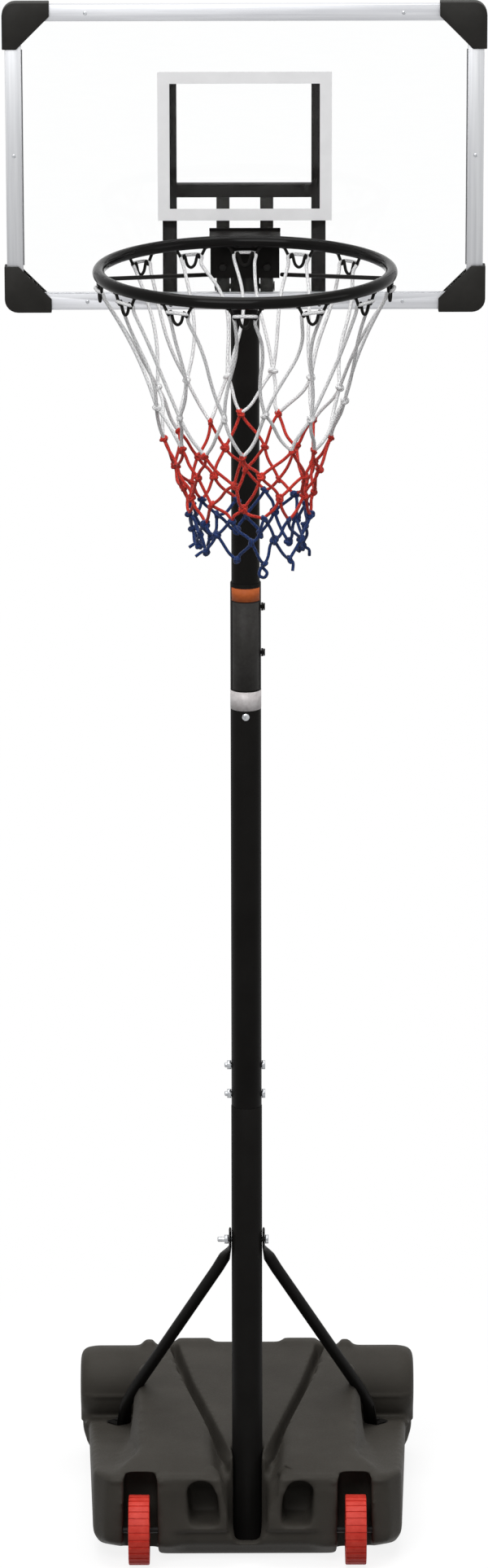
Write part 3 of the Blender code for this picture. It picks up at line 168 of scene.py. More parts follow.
def painted_floor():
    """White sweep: plain paint near the stand, where it keeps the shadow, pure white beyond."""
    look, tree = empty_look("white_sweep")
    direct = seen_directly(tree)
    spot = node(tree, "TexCoord").outputs["Object"]
    distance = node(tree, "VectorMath", {0: spot}, operation="LENGTH").outputs["Value"]
    start, end = SHADOW_FADE
    away = node(tree, "MapRange", {"Value": distance, "From Min": start, "From Max": end})
    white = node(tree, "Math", {0: away.outputs[0], 1: direct}, operation="MULTIPLY")
    lift = node(tree, "Math", {0: direct, 1: FLOOR_LIFT}, operation="MULTIPLY")
    paint = node(tree, "BsdfDiffuse", {"Color": linear("#7a7a7a")})
    glow = node(tree, "Emission", {"Color": WHITE, "Strength": lift.outputs[0]})
    far = node(tree, "Emission", {"Color": WHITE, "Strength": 1.0})
    near = node(tree, "AddShader", {0: paint.outputs[0], 1: glow.outputs[0]})
    mix = node(tree, "MixShader", {0: white.outputs[0], 1: near.outputs[0], 2: far.outputs[0]})
    node(tree, "OutputMaterial", {"Surface": mix.outputs[0]})
    return look


def lay_floor():
    bm = bmesh.new()
    bmesh.ops.create_circle(bm, cap_ends=True, segments=64, radius=FLOOR_RADIUS)
    mesh = bpy.data.meshes.new("floor")
    bm.to_mesh(mesh)
    bm.free()
    floor = bpy.data.objects.new("floor", mesh)
    mesh.materials.append(painted_floor())
    bpy.context.scene.collection.objects.link(floor)


# Finishes

# The middle part of a noise's values that is spread over the whole range
PATCH_SPREAD = (0.32, 0.68)
GRAIN_SPREAD = (0.3, 0.7)
# Set lower than real acrylic's, as the sheet in the photo mirrors next to nothing
SHEET_IOR = 1.16
YARNS_EACH_WAY = 4
YARN_RELIEF_MM = 0.25
FIBRE_PATCH_MM = 9


def finish(name, dark, light, *, patch, rough, grain, depth, metallic=0.0, specular=0.5,
           stretch=(1, 1, 1)):
    """A procedural finish.

    dark and light are the two ends of its colour, patch the size of its uneven patches in mm,
    rough the two ends of its roughness, grain the size of its surface grain in mm and depth the
    grain's height in mm. stretch makes the patches and the grain longer along an axis.
    """
    look, tree = empty_look(name)
    spot = node(tree, "TexCoord").outputs["Object"]
    spot = node(tree, "Mapping", {"Vector": spot, "Scale": [1 / s for s in stretch]}).outputs[0]
    cloud = node(tree, "TexNoise", {"Vector": spot, "Scale": 1 / (patch * MM), "Detail": 3.0,
                                    "Roughness": 0.6})
    speck = node(tree, "TexNoise", {"Vector": spot, "Scale": 1 / (grain * MM), "Detail": 2.0,
                                    "Roughness": 0.5})
    tone = node(tree, "MapRange", {"Value": cloud.outputs[0], "From Min": PATCH_SPREAD[0],
                                   "From Max": PATCH_SPREAD[1]})
    colour = node(tree, "Mix", {0: tone.outputs[0], 6: linear(dark), 7: linear(light)},
                  data_type="RGBA")
    sheen = node(tree, "MapRange", {"Value": speck.outputs[0], "From Min": GRAIN_SPREAD[0],
                                    "From Max": GRAIN_SPREAD[1], "To Min": rough[0],
                                    "To Max": rough[1]})
    bump = node(tree, "Bump", {"Height": speck.outputs[0], "Strength": 1.0,
                               "Distance": depth * MM})
    shader = node(tree, "BsdfPrincipled", {
        "Base Color": colour.outputs[2], "Roughness": sheen.outputs[0], "Normal": bump.outputs[0],
        "Metallic": metallic, "Specular IOR Level": specular,
    })
    node(tree, "OutputMaterial", {"Surface": shader.outputs[0]})
    return look


def clear_sheet():
    """Cast acrylic: clear, with faint wiping marks about 40 mm long and 6 mm high."""
    look, tree = empty_look("clear_acrylic")
    spot = node(tree, "TexCoord").outputs["Object"]
    wipe = node(tree, "Mapping", {"Vector": spot, "Scale": (4.0, 1.0, 30.0)}).outputs[0]
    smear = node(tree, "TexNoise", {"Vector": wipe, "Scale": 6.0, "Detail": 2.0})
    rough = node(tree, "MapRange", {"Value": smear.outputs[0], "To Min": 0.0, "To Max": 0.03})
    tint = node(tree, "Mix", {0: smear.outputs[0], 6: linear("#fdfefe"), 7: WHITE},
                data_type="RGBA")
    shader = node(tree, "BsdfPrincipled", {
        "Base Color": tint.outputs[2], "Roughness": rough.outputs[0], "IOR": SHEET_IOR,
        "Transmission Weight": 1.0,
    })
    node(tree, "OutputMaterial", {"Surface": shader.outputs[0]})
    return look


def braided(name, dark, light):
    """Braided polyester cord: matt, a plait of eight yarns that runs with the cord's own UV map.
    Its colour carries painted shade, darker in the gaps of the plait.
    """
    look, tree = empty_look(name)
    along = node(tree, "TexCoord").outputs["UV"]
    waves = []
    for way in (YARNS_EACH_WAY, -YARNS_EACH_WAY):
        turn = node(tree, "VectorMath", {0: along, 1: (math.tau, way * math.tau, 0.0)},
                    operation="DOT_PRODUCT")
        wave = node(tree, "Math", {0: turn.outputs["Value"]}, operation="SINE")
        waves.append(wave.outputs[0])
    plait = node(tree, "Math", {0: waves[0], 1: waves[1]}, operation="MAXIMUM")
    relief = node(tree, "MapRange", {"Value": plait.outputs[0], "From Min": -1.0, "From Max": 1.0})
    spot = node(tree, "TexCoord").outputs["Object"]
    fibre = node(tree, "TexNoise", {"Vector": spot, "Scale": 1 / (FIBRE_PATCH_MM * MM),
                                    "Detail": 3.0})
    # Painted shade: the colour goes dark where the plait dips between its yarns, and also varies
    # with an uneven fibre tone
    tone = node(tree, "Math", {0: relief.outputs[0], 1: fibre.outputs[0]}, operation="MULTIPLY")
    tone = node(tree, "MapRange", {"Value": tone.outputs[0], "From Min": 0.10, "From Max": 0.50})
    colour = node(tree, "Mix", {0: tone.outputs[0], 6: linear(dark), 7: linear(light)},
                  data_type="RGBA")
    bump = node(tree, "Bump", {"Height": relief.outputs[0], "Strength": 1.0,
                               "Distance": YARN_RELIEF_MM * MM})
    shader = node(tree, "BsdfPrincipled", {
        "Base Color": colour.outputs[2], "Roughness": 0.8, "Normal": bump.outputs[0],
        "Specular IOR Level": 0.2, "Sheen Weight": 0.15,
    })
    node(tree, "OutputMaterial", {"Surface": shader.outputs[0]})
    return look


# Blow-moulded polyethylene: matt, slightly warm black, fine sandy grain, cloudy where handled
tank_plastic = finish("blow_moulded_polyethylene", "#383530", "#403d38", patch=90,
                      rough=(0.56, 0.70), grain=2.2, depth=0.10, specular=0.16)
# Powder coat on steel tube: satin black with a faint orange peel
powder_coat = finish("black_powder_coat", "#191817", "#1e1d1c", patch=60,
                     rough=(0.38, 0.48), grain=2.4, depth=0.03, specular=0.03)
# Stove enamel on the ring and the bracket's lip: glossy black, nearly smooth
ring_enamel = finish("black_stove_enamel", "#0c0b0b", "#11100f", patch=50,
                     rough=(0.12, 0.18), grain=3.0, depth=0.01, specular=0.07)
# Zinc-plated steel: bright, with small cloudy spangles
zinc = finish("zinc_plated_steel", "#94969a", "#c0c2c4", patch=4,
              rough=(0.24, 0.42), grain=1.2, depth=0.02, metallic=1.0)
# Blackened steel: screws and axles in dark oxide, a thin oily sheen
black_steel = finish("blackened_steel", "#141312", "#1f1e1d", patch=4,
                     rough=(0.36, 0.50), grain=1.2, depth=0.02, specular=0.12)
# Satin anodised aluminium, drawn through a die: fine lines along the level bars
bar_level = finish("satin_aluminium_level", "#b9babe", "#c9cacd", patch=5,
                   rough=(0.42, 0.54), grain=1.6, depth=0.02, metallic=0.8, stretch=(60, 1, 1))
# The same aluminium with its lines along the upright bars, its colour a shade darker as painted
# shade
shaded_upright_aluminium = finish("satin_aluminium_upright_shaded", "#b4b5b8", "#c5c6c8", patch=5,
                     rough=(0.42, 0.54), grain=1.6, depth=0.02, metallic=0.8, stretch=(1, 1, 60))
# Injection-moulded polypropylene: black, fine spark-eroded grain
cap_plastic = finish("black_polypropylene", "#1f1e1c", "#252422", patch=30,
                     rough=(0.48, 0.62), grain=1.4, depth=0.05, specular=0.14)
# Grey strip along the inner edge of each upright bar, a painted shadow line: dull grey
shadow_strip_grey = finish("grey_shadow_strip", "#606163", "#6c6d6f", patch=10,
                rough=(0.70, 0.80), grain=1.0, depth=0.02, specular=0.2)
# Adhesive vinyl film of the target: off-white, even, a little sheen
white_film = finish("off_white_vinyl_film", "#e3e3e4", "#e9e9ea", patch=40,
                    rough=(0.42, 0.52), grain=2.5, depth=0.01, specular=0.2)
# Injection-moulded red polypropylene of the wheels: satin, finely grained and a little uneven
wheel_plastic = finish("red_polypropylene", "#d43a2e", "#e2493c", patch=12,
                       rough=(0.44, 0.60), grain=1.8, depth=0.06, specular=0.25)
# Water in the closed tank: pale and smooth
water = finish("ballast_water", "#8fa3ac", "#9db0b8", patch=80,
               rough=(0.10, 0.20), grain=20.0, depth=0.02)
# Orange film on the pole, plain: satin, slightly faded in patches
orange_film = finish("orange_film", "#bf5f2e", "#cb6b3a", patch=8,
                     rough=(0.38, 0.50), grain=2.0, depth=0.02, specular=0.15)
# Dark grey film on the pole, plain: a little lighter and warmer than the tube round it
grey_film = finish("dark_grey_film", "#312f2e", "#3a3937", patch=10,
                   rough=(0.40, 0.52), grain=2.0, depth=0.02, specular=0.12)
# Silver film on the pole, plain: pale, with a faint metallic unevenness
silver_film = finish("silver_film", "#c4bebe", "#dcd8d8", patch=9,
                     rough=(0.34, 0.48), grain=2.0, depth=0.03, metallic=0.15, specular=0.3)
# Braided cords of the net: darker in the gaps of the plait as painted shade, full colour on its
# yarns
white_cord = braided("white_braided_cord", "#c2c2c4", "#ececec")
red_cord = braided("red_braided_cord", "#8a1d16", "#cc3629")
blue_cord = braided("blue_braided_cord", "#0e1c3e", "#1f376c")

# The finish of each slot
LOOKS = {
    "tank": tank_plastic, "fill": water, "pole": powder_coat, "steel": zinc, "gloss": ring_enamel,
    "aluminium": bar_level, "clear": clear_sheet(), "capplastic": cap_plastic,
    "vinyl": white_film, "wheelred": wheel_plastic, "white": white_cord, "red": red_cord,
    "blue": blue_cord,
}
# Nodes whose finish is another one than their slot's
OWN_LOOKS = {
    # The upright bars take the aluminium that carries painted shade
    "bar_left": shaded_upright_aluminium, "bar_right": shaded_upright_aluminium,
    "rim_bracket": powder_coat, "brace_left": powder_coat, "brace_right": powder_coat,
}
BLACK_FASTENERS = ("axle_", "strut_screw", "frame_bolt", "frame_nut", "frame_screw", "rim_bolt")


def dress_nodes():
    """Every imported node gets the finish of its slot, or its own."""
    for name, obj in frame["nodes"].items():
        look = OWN_LOOKS.get(name, LOOKS[slot_of[name]])
        if name.startswith(BLACK_FASTENERS):
            look = black_steel
        if not obj.material_slots:
            obj.data.materials.append(look)
        for place in obj.material_slots:
            place.material = look


# Piece helpers

# Points closer than this are one, in made meshes and in the solids' triangles
SAME_SPOT = 1e-6
SAME_CORNER = 1e-5
FLAT_DEG = 0.5
HARD_EDGE_DEG = 30
# Length of cord for one round of its yarns
YARN_LENGTH = 0.008


def add_piece(name, bm, look, nodes=(), body=None, sharp=35):
    """Makes a piece of the bmesh.

    It stands for the nodes, and takes its body from the first. Edges over the angle sharp, in
    degrees, stay sharp.
    """
    mesh = bpy.data.meshes.new(name)
    bm.to_mesh(mesh)
    bm.free()
    mesh.shade_smooth()
    mesh.set_sharp_from_angle(angle=math.radians(sharp))
    mesh.materials.append(look)
    piece = bpy.data.objects.new(name, mesh)
    bpy.context.scene.collection.objects.link(piece)
    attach(piece, body or body_of[nodes[0]])
    if nodes:
        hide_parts(*nodes)
    return piece


def stamp(bm, part, place=Matrix()):
    """Adds the bmesh part to bm at a place, and frees it."""
    part.transform(place)
    mesh = bpy.data.meshes.new("stamp")
    part.to_mesh(mesh)
    part.free()
    bm.from_mesh(mesh)
    bpy.data.meshes.remove(mesh)


def turned(profile, steps, closed=True):
    """A turned form: (radius, height) pairs spun about Z; an open profile ends on the axis."""
    bm = bmesh.new()
    verts = [bm.verts.new((r, 0.0, z)) for r, z in profile]
    edges = [bm.edges.new(pair) for pair in zip(verts, verts[1:])]
    if closed:
        edges.append(bm.edges.new((verts[-1], verts[0])))
    bmesh.ops.spin(bm, geom=verts + edges, cent=(0, 0, 0), axis=(0, 0, 1), angle=math.tau,
                   steps=steps, use_merge=True)
    bmesh.ops.remove_doubles(bm, verts=bm.verts, dist=SAME_SPOT)
    bmesh.ops.recalc_face_normals(bm, faces=bm.faces)
    return bm


def merged_copy(node_name):
    """The node's mesh with its triangles joined up again."""
    bm = bmesh.new()
    bm.from_mesh(frame["nodes"][node_name].data)
    bmesh.ops.remove_doubles(bm, verts=bm.verts, dist=SAME_CORNER)
    bmesh.ops.dissolve_limit(bm, angle_limit=math.radians(FLAT_DEG), verts=bm.verts,
                             edges=bm.edges)
    return bm


def cord_tube(bm, points, radius, sides_half=2):
    """A round cord through the points; its UV runs along the cord once for each yarn length."""
    curve = bpy.data.curves.new("cord", "CURVE")
    curve.dimensions = "3D"
    curve.bevel_depth = radius
    curve.bevel_resolution = sides_half
    curve.use_fill_caps = True
    spline = curve.splines.new("POLY")
    spline.points.add(len(points) - 1)
    for spot, point in zip(spline.points, points):
        spot.co = (*point, 1.0)
    holder = bpy.data.objects.new("cord", curve)
    mesh = bpy.data.meshes.new_from_object(holder)
    length = sum((b - a).length for a, b in zip(points, points[1:]))
    for corner in mesh.uv_layers[0].data:
        corner.uv[0] *= length / YARN_LENGTH
    part = bmesh.new()
    part.from_mesh(mesh)
    bmesh.ops.remove_doubles(part, verts=part.verts, dist=SAME_SPOT)
    stamp(bm, part)
    bpy.data.objects.remove(holder)
    bpy.data.curves.remove(curve)
    bpy.data.meshes.remove(mesh)


def eased_path(points, steps):
    """A smooth line through the points, with some steps between each two."""
    ends = [points[0] * 2 - points[1], *points, points[-1] * 2 - points[-2]]
    line = []
    for before, start, end, after in zip(ends, ends[1:], ends[2:], ends[3:]):
        for i in range(steps):
            t = i / steps
            line.append(0.5 * (2 * start + (end - before) * t
                               + (2 * before - 5 * start + 4 * end - after) * t ** 2
                               + (3 * start - before - 3 * end + after) * t ** 3))
    return line + [points[-1]]


# Edges of the nodes whose solids are right but for their knife-sharp edges

# What their names start with, how wide their edges are rounded, and in how many steps
EDGES = (
    (("corner_",), 0.0012, 2),
    (("back_frame", "rim_bracket"), 0.0008, 2),
    (("bar_", "fill_cap", "frame_pad_"), 0.0005, 2),
    (("joint_", "strut_bolt", "strut_nut", "strut_screw", "rim_bolt", "frame_bolt", "frame_nut",
      "weld_nut", "clamp_screw"), 0.0003, 1),
)
# Ends of cross bolts that stand off less than in the solids: the face they stand on, and the
# share that is left
LOW_ENDS = {
    "clamp_screw": (0.0237, 0.62), "weld_nut": (0.0237, 0.62),
    "frame_bolt": (0.0427, 0.35), "frame_nut": (0.0427, 0.35),
}
# The left wall of each upright, and how far it is set out
UPRIGHT_WALLS = (-0.1205, 0.1015)
UPRIGHT_EXTRA = 0.0022
WALL_REACH = 0.0005


def lower_ends(bm, face, share):
    """Brings what stands past the face on either side nearer to it."""
    for vert in bm.verts:
        past = abs(vert.co.x) - face
        if past > 0:
            vert.co.x = math.copysign(face + past * share, vert.co.x)


def widen_uprights(bm):
    """Sets the left wall of each upright out: the tubes are a little wider than the solid's."""
    for vert in bm.verts:
        if any(abs(vert.co.x - wall) < WALL_REACH for wall in UPRIGHT_WALLS):
            vert.co.x -= UPRIGHT_EXTRA


def eased(node_name, width, segments):
    """The node with every hard edge rounded, as paint or moulding leaves it."""
    bm = merged_copy(node_name)
    for prefix, (face, share) in LOW_ENDS.items():
        if node_name.startswith(prefix):
            lower_ends(bm, face, share)
    if node_name == "back_frame":
        widen_uprights(bm)
    hard = math.radians(HARD_EDGE_DEG)
    edges = [e for e in bm.edges if e.is_manifold and e.calc_face_angle(0.0) > hard]
    bmesh.ops.bevel(bm, geom=edges, offset=width, offset_type="OFFSET", segments=segments,
                    profile=0.5, affect="EDGES", clamp_overlap=True, material=-1)
    look = frame["nodes"][node_name].material_slots[0].material
    add_piece(f"{node_name}_finished", bm, look, (node_name,), sharp=40)


def eased_nodes():
    for name in frame["nodes"]:
        for starts, width, segments in EDGES:
            if name.startswith(starts):
                eased(name, width, segments)


# Tank

VOXEL = 0.0040
SOFTENING = 7
# Farther out than any part of the tank
FAR = 1.0
FRONT_Y = -0.1020
LOG_Y = 0.3350
LOG_Z = 0.1400
# Slopes of the tank's top: height at the start, rise, where it starts behind the front, and how
# much shorter its run is than the way from the front to the roll's middle
RAMP = (0.157, 0.0475, 0.062, 0.052)
DECK = (0.148, -0.054, 0.020, 0.055)
# Nothing of the top lies lower than this
TOP_Z = 0.10

# The filler hole behind, closed in the skin, as the cap covers it
FILLER_R = 0.0195
FILLER_LENGTH = 0.080
FILLER_MIDDLE = (0, 0.335, 0.105)

# The grooves seen from above: the solid's narrow ones, and the wide ones of the skin
CAD_GROOVE = ((0.1150, 0.3240), (0.0934, 0.2130), (0.0635, 0.1000))
CAD_GROOVE_HALF = 0.0065
CAD_GROOVE_DEPTH = 0.012
GROOVE_LINE = ((0.1170, 0.3300), (0.0934, 0.2130), (0.0280, -0.0340))
GROOVE_DEPTH = 0.0240
GROOVE_REACH = 0.0078

# The ramp's edge beside the shelf: its range along the tank, its waist and the slopes on either
# side of it in the solid, and where the straight edge stands
EDGE_FRONT = -0.062
EDGE_REAR = 0.30
WAIST_X = 0.175
WAIST_Y = 0.090
FRONT_SLOPE = 0.210
REAR_SLOPE = 0.192
STRAIGHT_X = 0.1720

# Zones are ranges of x to either side, of y and of z. First the shelf's front corners, and the
# passes that round them
SHELF_CORNERS = ((0.140, 0.215), (EDGE_FRONT, 0.030), (0.115, FAR))
SHELF_PASSES = 6
# The cheeks beside the pole's foot, with their passes: drawn softest near the pole
CHEEKS = (
    (((0.028, 0.078), (-0.098, 0.112), (0.088, FAR)), 8),
    (((0.028, 0.070), (-0.090, 0.100), (0.088, FAR)), 30),
)
# The hand pockets' own skin, which the cheeks' passes leave alone
POCKET_SKIN = ((0.0435, FAR), (-FAR, -0.052), (-FAR, 0.1425))

# What is carved: zones, and how far the skin moves there
ROLL_HALF = 0.2700
ROLL_END = 0.0220
ROLL_ENDS = ((ROLL_HALF - ROLL_END, FAR), (LOG_Y - 0.058, FAR), (0.085, FAR))
MOULD_LINE_Z = LOG_Z - 0.002
MOULD_LINE_HALF = 0.005
MOULD_LINE_HEIGHT = 0.0022
MOULD_LINE = ((0.13, FAR), (-FAR, LOG_Y - 0.04),
              (MOULD_LINE_Z - MOULD_LINE_HALF, MOULD_LINE_Z + MOULD_LINE_HALF))
POCKETS = ((0.030, 0.120), (-FAR, -0.050), (0.055, 0.150))
POCKET_SHIFT = 0.0045
POCKET_BACKS = ((0.050, 0.102), (-0.080, -0.050), (0.064, 0.142))
POCKET_DEEPER = 0.0320
FOOT = ((-FAR, 0.134), (-FAR, -0.050), (-FAR, 0.062))
FOOT_SET_BACK = 0.0110


def height(slope, y):
    """Height of the ramp between the two grooves, or of the deck beside it."""
    start_z, rise, start, short = slope
    return start_z + rise * (y - FRONT_Y - start) / (LOG_Y - FRONT_Y - short)


def within(spot, zone):
    """Whether a spot lies in a zone."""
    return all(low < value < high
               for value, (low, high) in zip((abs(spot.x), spot.y, spot.z), zone))


def from_groove(x, y):
    """Distance of a spot from the nearer of the two grooves, seen from above."""
    spot = Vector((abs(x), y))
    best = FAR
    for start, end in zip(GROOVE_LINE, GROOVE_LINE[1:]):
        start, end = Vector(start), Vector(end)
        share = (spot - start).dot(end - start) / (end - start).length_squared
        best = min(best, (start.lerp(end, min(max(share, 0.0), 1.0)) - spot).length)
    return best


def near_groove(bm, margin):
    """The verts of the top that lie in a groove or no farther than the margin from it."""
    return [v for v in bm.verts
            if v.co.z > TOP_Z and from_groove(v.co.x, v.co.y) < GROOVE_REACH + margin]


def hump(distance, reach):
    """1 at no distance, falling smoothly to 0 at the reach."""
    return max(0.0, 1 - (distance / reach) ** 2) ** 2


def rising(value, low, high):
    """0 up to low, 1 from high on, smooth between."""
    t = min(max((value - low) / (high - low), 0.0), 1.0)
    return t * t * (3 - 2 * t)


def draw_rounds(bm, verts, passes):
    """Draws the verts nearer to their neighbours, which rounds the edges between them."""
    for _ in range(passes):
        bmesh.ops.smooth_vert(bm, verts=verts, factor=0.5, use_axis_x=True, use_axis_y=True,
                              use_axis_z=True)


def groove_fill(bm):
    """Bars flush with the ramp that close the solid's narrow grooves."""
    for start, end in zip(CAD_GROOVE, CAD_GROOVE[1:]):
        for side in (1, -1):
            bar = bmesh.new()
            for x, y in (start, end):
                for aside in (-CAD_GROOVE_HALF, CAD_GROOVE_HALF):
                    for drop in (0.0, CAD_GROOVE_DEPTH):
                        bar.verts.new((side * x + aside, y, height(RAMP, y) - drop))
            bmesh.ops.convex_hull(bar, input=list(bar.verts))
            bmesh.ops.recalc_face_normals(bar, faces=list(bar.faces))
            stamp(bm, bar)


def tank_skin():
    """One even skin over the tank's solid, with its filler hole and narrow grooves closed."""
    bm = merged_copy("base_tank")
    groove_fill(bm)
    plug = bmesh.new()
    bmesh.ops.create_cone(plug, cap_ends=True, segments=32, radius1=FILLER_R, radius2=FILLER_R,
                          depth=FILLER_LENGTH)
    stamp(bm, plug, Matrix.Translation(FILLER_MIDDLE) @ Matrix.Rotation(math.pi / 2, 4, "X"))
    mesh = bpy.data.meshes.new("tank_rough")
    bm.to_mesh(mesh)
    bm.free()
    rough = bpy.data.objects.new("tank_rough", mesh)
    bpy.context.scene.collection.objects.link(rough)
    remesh = rough.modifiers.new("skin", "REMESH")
    remesh.mode = "VOXEL"
    remesh.voxel_size = VOXEL
    graph = bpy.context.evaluated_depsgraph_get()
    skin = bpy.data.meshes.new_from_object(rough.evaluated_get(graph))
    bpy.data.objects.remove(rough)
    bm = bmesh.new()
    bm.from_mesh(skin)
    bpy.data.meshes.remove(skin)
    bpy.data.meshes.remove(mesh)
    return bm


def straighten_edge(spot):
    """Sets the ramp's edge straight back beside the shelf that the strut stands on."""
    x, y, z = spot
    over = z - height(DECK, y)
    if EDGE_FRONT < y < EDGE_REAR and over > 0.003:
        edge = WAIST_X + (WAIST_Y - y) * (REAR_SLOPE if y > WAIST_Y else FRONT_SLOPE)
        share = rising(abs(x), 0.100, edge - 0.006)
        share *= 1 - rising(abs(x), edge + 0.008, edge + 0.030)
        share *= rising(over, 0.002, 0.012)
        share *= rising(y, EDGE_FRONT, 0.010) * (1 - rising(y, 0.27, EDGE_REAR))
        spot.x += math.copysign(1, x) * (STRAIGHT_X - edge) * share


def press_groove(spot):
    """Presses the two wide grooves into the ramp; they fade out in the cheeks beside the pole."""
    x, y, z = spot
    top = height(RAMP, y)
    away = from_groove(x, y)
    if away < GROOVE_REACH:
        depth = GROOVE_DEPTH * math.sqrt(hump(away, GROOVE_REACH)) * rising(y, -0.050, 0.050)
        spot.z -= (depth * rising(z, top - 0.032, top - 0.012)
                   * (1 - rising(z, top + 0.003, top + 0.008)))


def carve(spot):
    """Moves a spot of the skin: the roll's ends and mould line, the hand pockets, the foot."""
    was = spot.copy()
    x, y, z = was
    # Squarer ends of the roll, and the mould line along its middle
    if within(was, ROLL_ENDS):
        share = (ROLL_HALF - min(abs(x), ROLL_HALF)) / ROLL_END
        spot.x = math.copysign(ROLL_HALF - ROLL_END * share * share, x)
    if within(was, MOULD_LINE):
        spot.y -= MOULD_LINE_HEIGHT * hump(z - MOULD_LINE_Z, MOULD_LINE_HALF)
    # The hand pockets, deeper and a little to the right, as on the real tank
    if within(was, POCKETS):
        spot.x += POCKET_SHIFT * rising(abs(x), 0.030, 0.044) * (1 - rising(abs(x), 0.104, 0.120))
    if within(was, POCKET_BACKS):
        spot.y += POCKET_DEEPER * rising(y, -0.080, -0.068) * (1 - 0.6 * rising(z, 0.100, 0.136))
    # The front wall's foot, set back under a ledge
    if within(was, FOOT):
        middle = 1 - rising(abs(x), 0.090, 0.126)
        spot.y += FOOT_SET_BACK * middle * (1 - rising(z, 0.052, 0.062)) * rising(z, 0.004, 0.036)


def softened_tank():
    """The tank as it leaves its blow mould: one skin with every edge drawn round."""
    bm = tank_skin()
    draw_rounds(bm, bm.verts, SOFTENING)
    for vert in bm.verts:
        straighten_edge(vert.co)
    draw_rounds(bm, [v for v in bm.verts if within(v.co, SHELF_CORNERS)], SHELF_PASSES)
    fine = set(near_groove(bm, 0.004))
    edges = [e for e in bm.edges if e.verts[0] in fine and e.verts[1] in fine]
    bmesh.ops.subdivide_edges(bm, edges=edges, cuts=2, use_grid_fill=True)
    for zone, passes in CHEEKS:
        cheeks = [v for v in bm.verts if within(v.co, zone) and not within(v.co, POCKET_SKIN)]
        draw_rounds(bm, cheeks, passes)
    for vert in bm.verts:
        press_groove(vert.co)
        carve(vert.co)
    draw_rounds(bm, near_groove(bm, 0.003), 2)
    low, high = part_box("base_tank")
    for vert in bm.verts:
        vert.co = [min(max(c, a), b) for c, a, b in zip(vert.co, low, high)]
    add_piece("tank_shell", bm, tank_plastic, ("base_tank",), sharp=80)


# Wheels

WHEEL_X = 0.1700
WHEEL_Y = -0.0830
WHEEL_Z = 0.0562
WHEEL_R = 0.0550
WHEEL_HALF = 0.0165
WEB_HALF = 0.0095
HUB_R = 0.0150
RIM_R = 0.0430
BORE_R = 0.0053
TREAD_EDGE = 0.0020
RIBS = 30
STEPS_PER_RIB = 4
RIB_DEPTH = 0.0014


def tread_wheel(side, name):
    """Moulded wheel: hub, sunk web, rim and a tread of square ribs."""
    half = WHEEL_HALF
    lower = [
        (BORE_R, -half), (HUB_R - 0.001, -half), (HUB_R, -half + 0.001),
        (HUB_R + 0.002, -WEB_HALF), (RIM_R - 0.003, -WEB_HALF), (RIM_R - 0.001, -half + 0.001),
        (RIM_R, -half), (WHEEL_R - TREAD_EDGE, -half), (WHEEL_R - 0.0006, -half + 0.0006),
        (WHEEL_R, -half + TREAD_EDGE), (WHEEL_R, -0.0055),
    ]
    steps = RIBS * STEPS_PER_RIB
    bm = turned(lower + [(r, -z) for r, z in reversed(lower)], steps)
    grooves = []
    for face in bm.faces:
        middle = face.calc_center_median()
        step = math.degrees(math.atan2(middle.y, middle.x)) % 360 / (360 / steps)
        on_tread = math.hypot(middle.x, middle.y) > WHEEL_R - 0.0004
        if on_tread and int(step) % STEPS_PER_RIB == 0:
            grooves.append(face)
    grown = bmesh.ops.extrude_face_region(bm, geom=grooves)["geom"]
    sunk = [v for v in grown if isinstance(v, bmesh.types.BMVert)]
    bmesh.ops.delete(bm, geom=grooves, context="FACES")
    share = (WHEEL_R - RIB_DEPTH) / WHEEL_R
    bmesh.ops.scale(bm, vec=(share, share, 1.0), verts=sunk)
    bmesh.ops.recalc_face_normals(bm, faces=bm.faces)
    place = Matrix.Translation((side * WHEEL_X, WHEEL_Y, WHEEL_Z))
    bm.transform(place @ Matrix.Rotation(math.pi / 2, 4, "Y"))
    add_piece(f"{name}_moulded", bm, wheel_plastic, (name,), sharp=30)


# Pole

UPPER_R = 0.0216
MIDDLE_R = 0.0234
LOWER_R = 0.0239
TUBE_WALL = 0.0015
FOOT_Z = 0.0080
SEAM_Z = 0.7330
NECK_TOP_Z = 0.8580
UPPER_FOOT_Z = 1.3370
MIDDLE_TOP_Z = 1.5720
POLE_TOP_Z = 2.1100
TUBE_STEPS = 96

# Film stuck round the front of the middle tube, in the places that carry print on the real pole,
# left plain: name, finish, lower and upper edge, half the angle it goes round, how far it
# stands off
BANDS = (
    ("orange_band", orange_film, 1.5456, 1.5660, 64, 0.00020),
    ("grey_band", grey_film, 1.4060, 1.5440, 58, 0.00012),
    ("silver_band", silver_film, 1.3738, 1.4034, 179, 0.00020),
)
FILM_THICKNESS = 0.00012

# Rings of the strut's lower end: where the solid has them, and how far they move
STRUT_RINGS = (
    ((0.1780, 0.2160, 0.1752), (0.0030, 0.0, 0.0)),
    ((0.1880, 0.2290, 0.1402), (0.0075, 0.0085, 0.0)),
)
STRUT_RING_REACH = 0.0125


def tube(name, node_name, profile):
    """A drawn steel tube; its outline is given as (radius, height)."""
    add_piece(name, turned(profile, TUBE_STEPS), powder_coat, (node_name,), sharp=40)


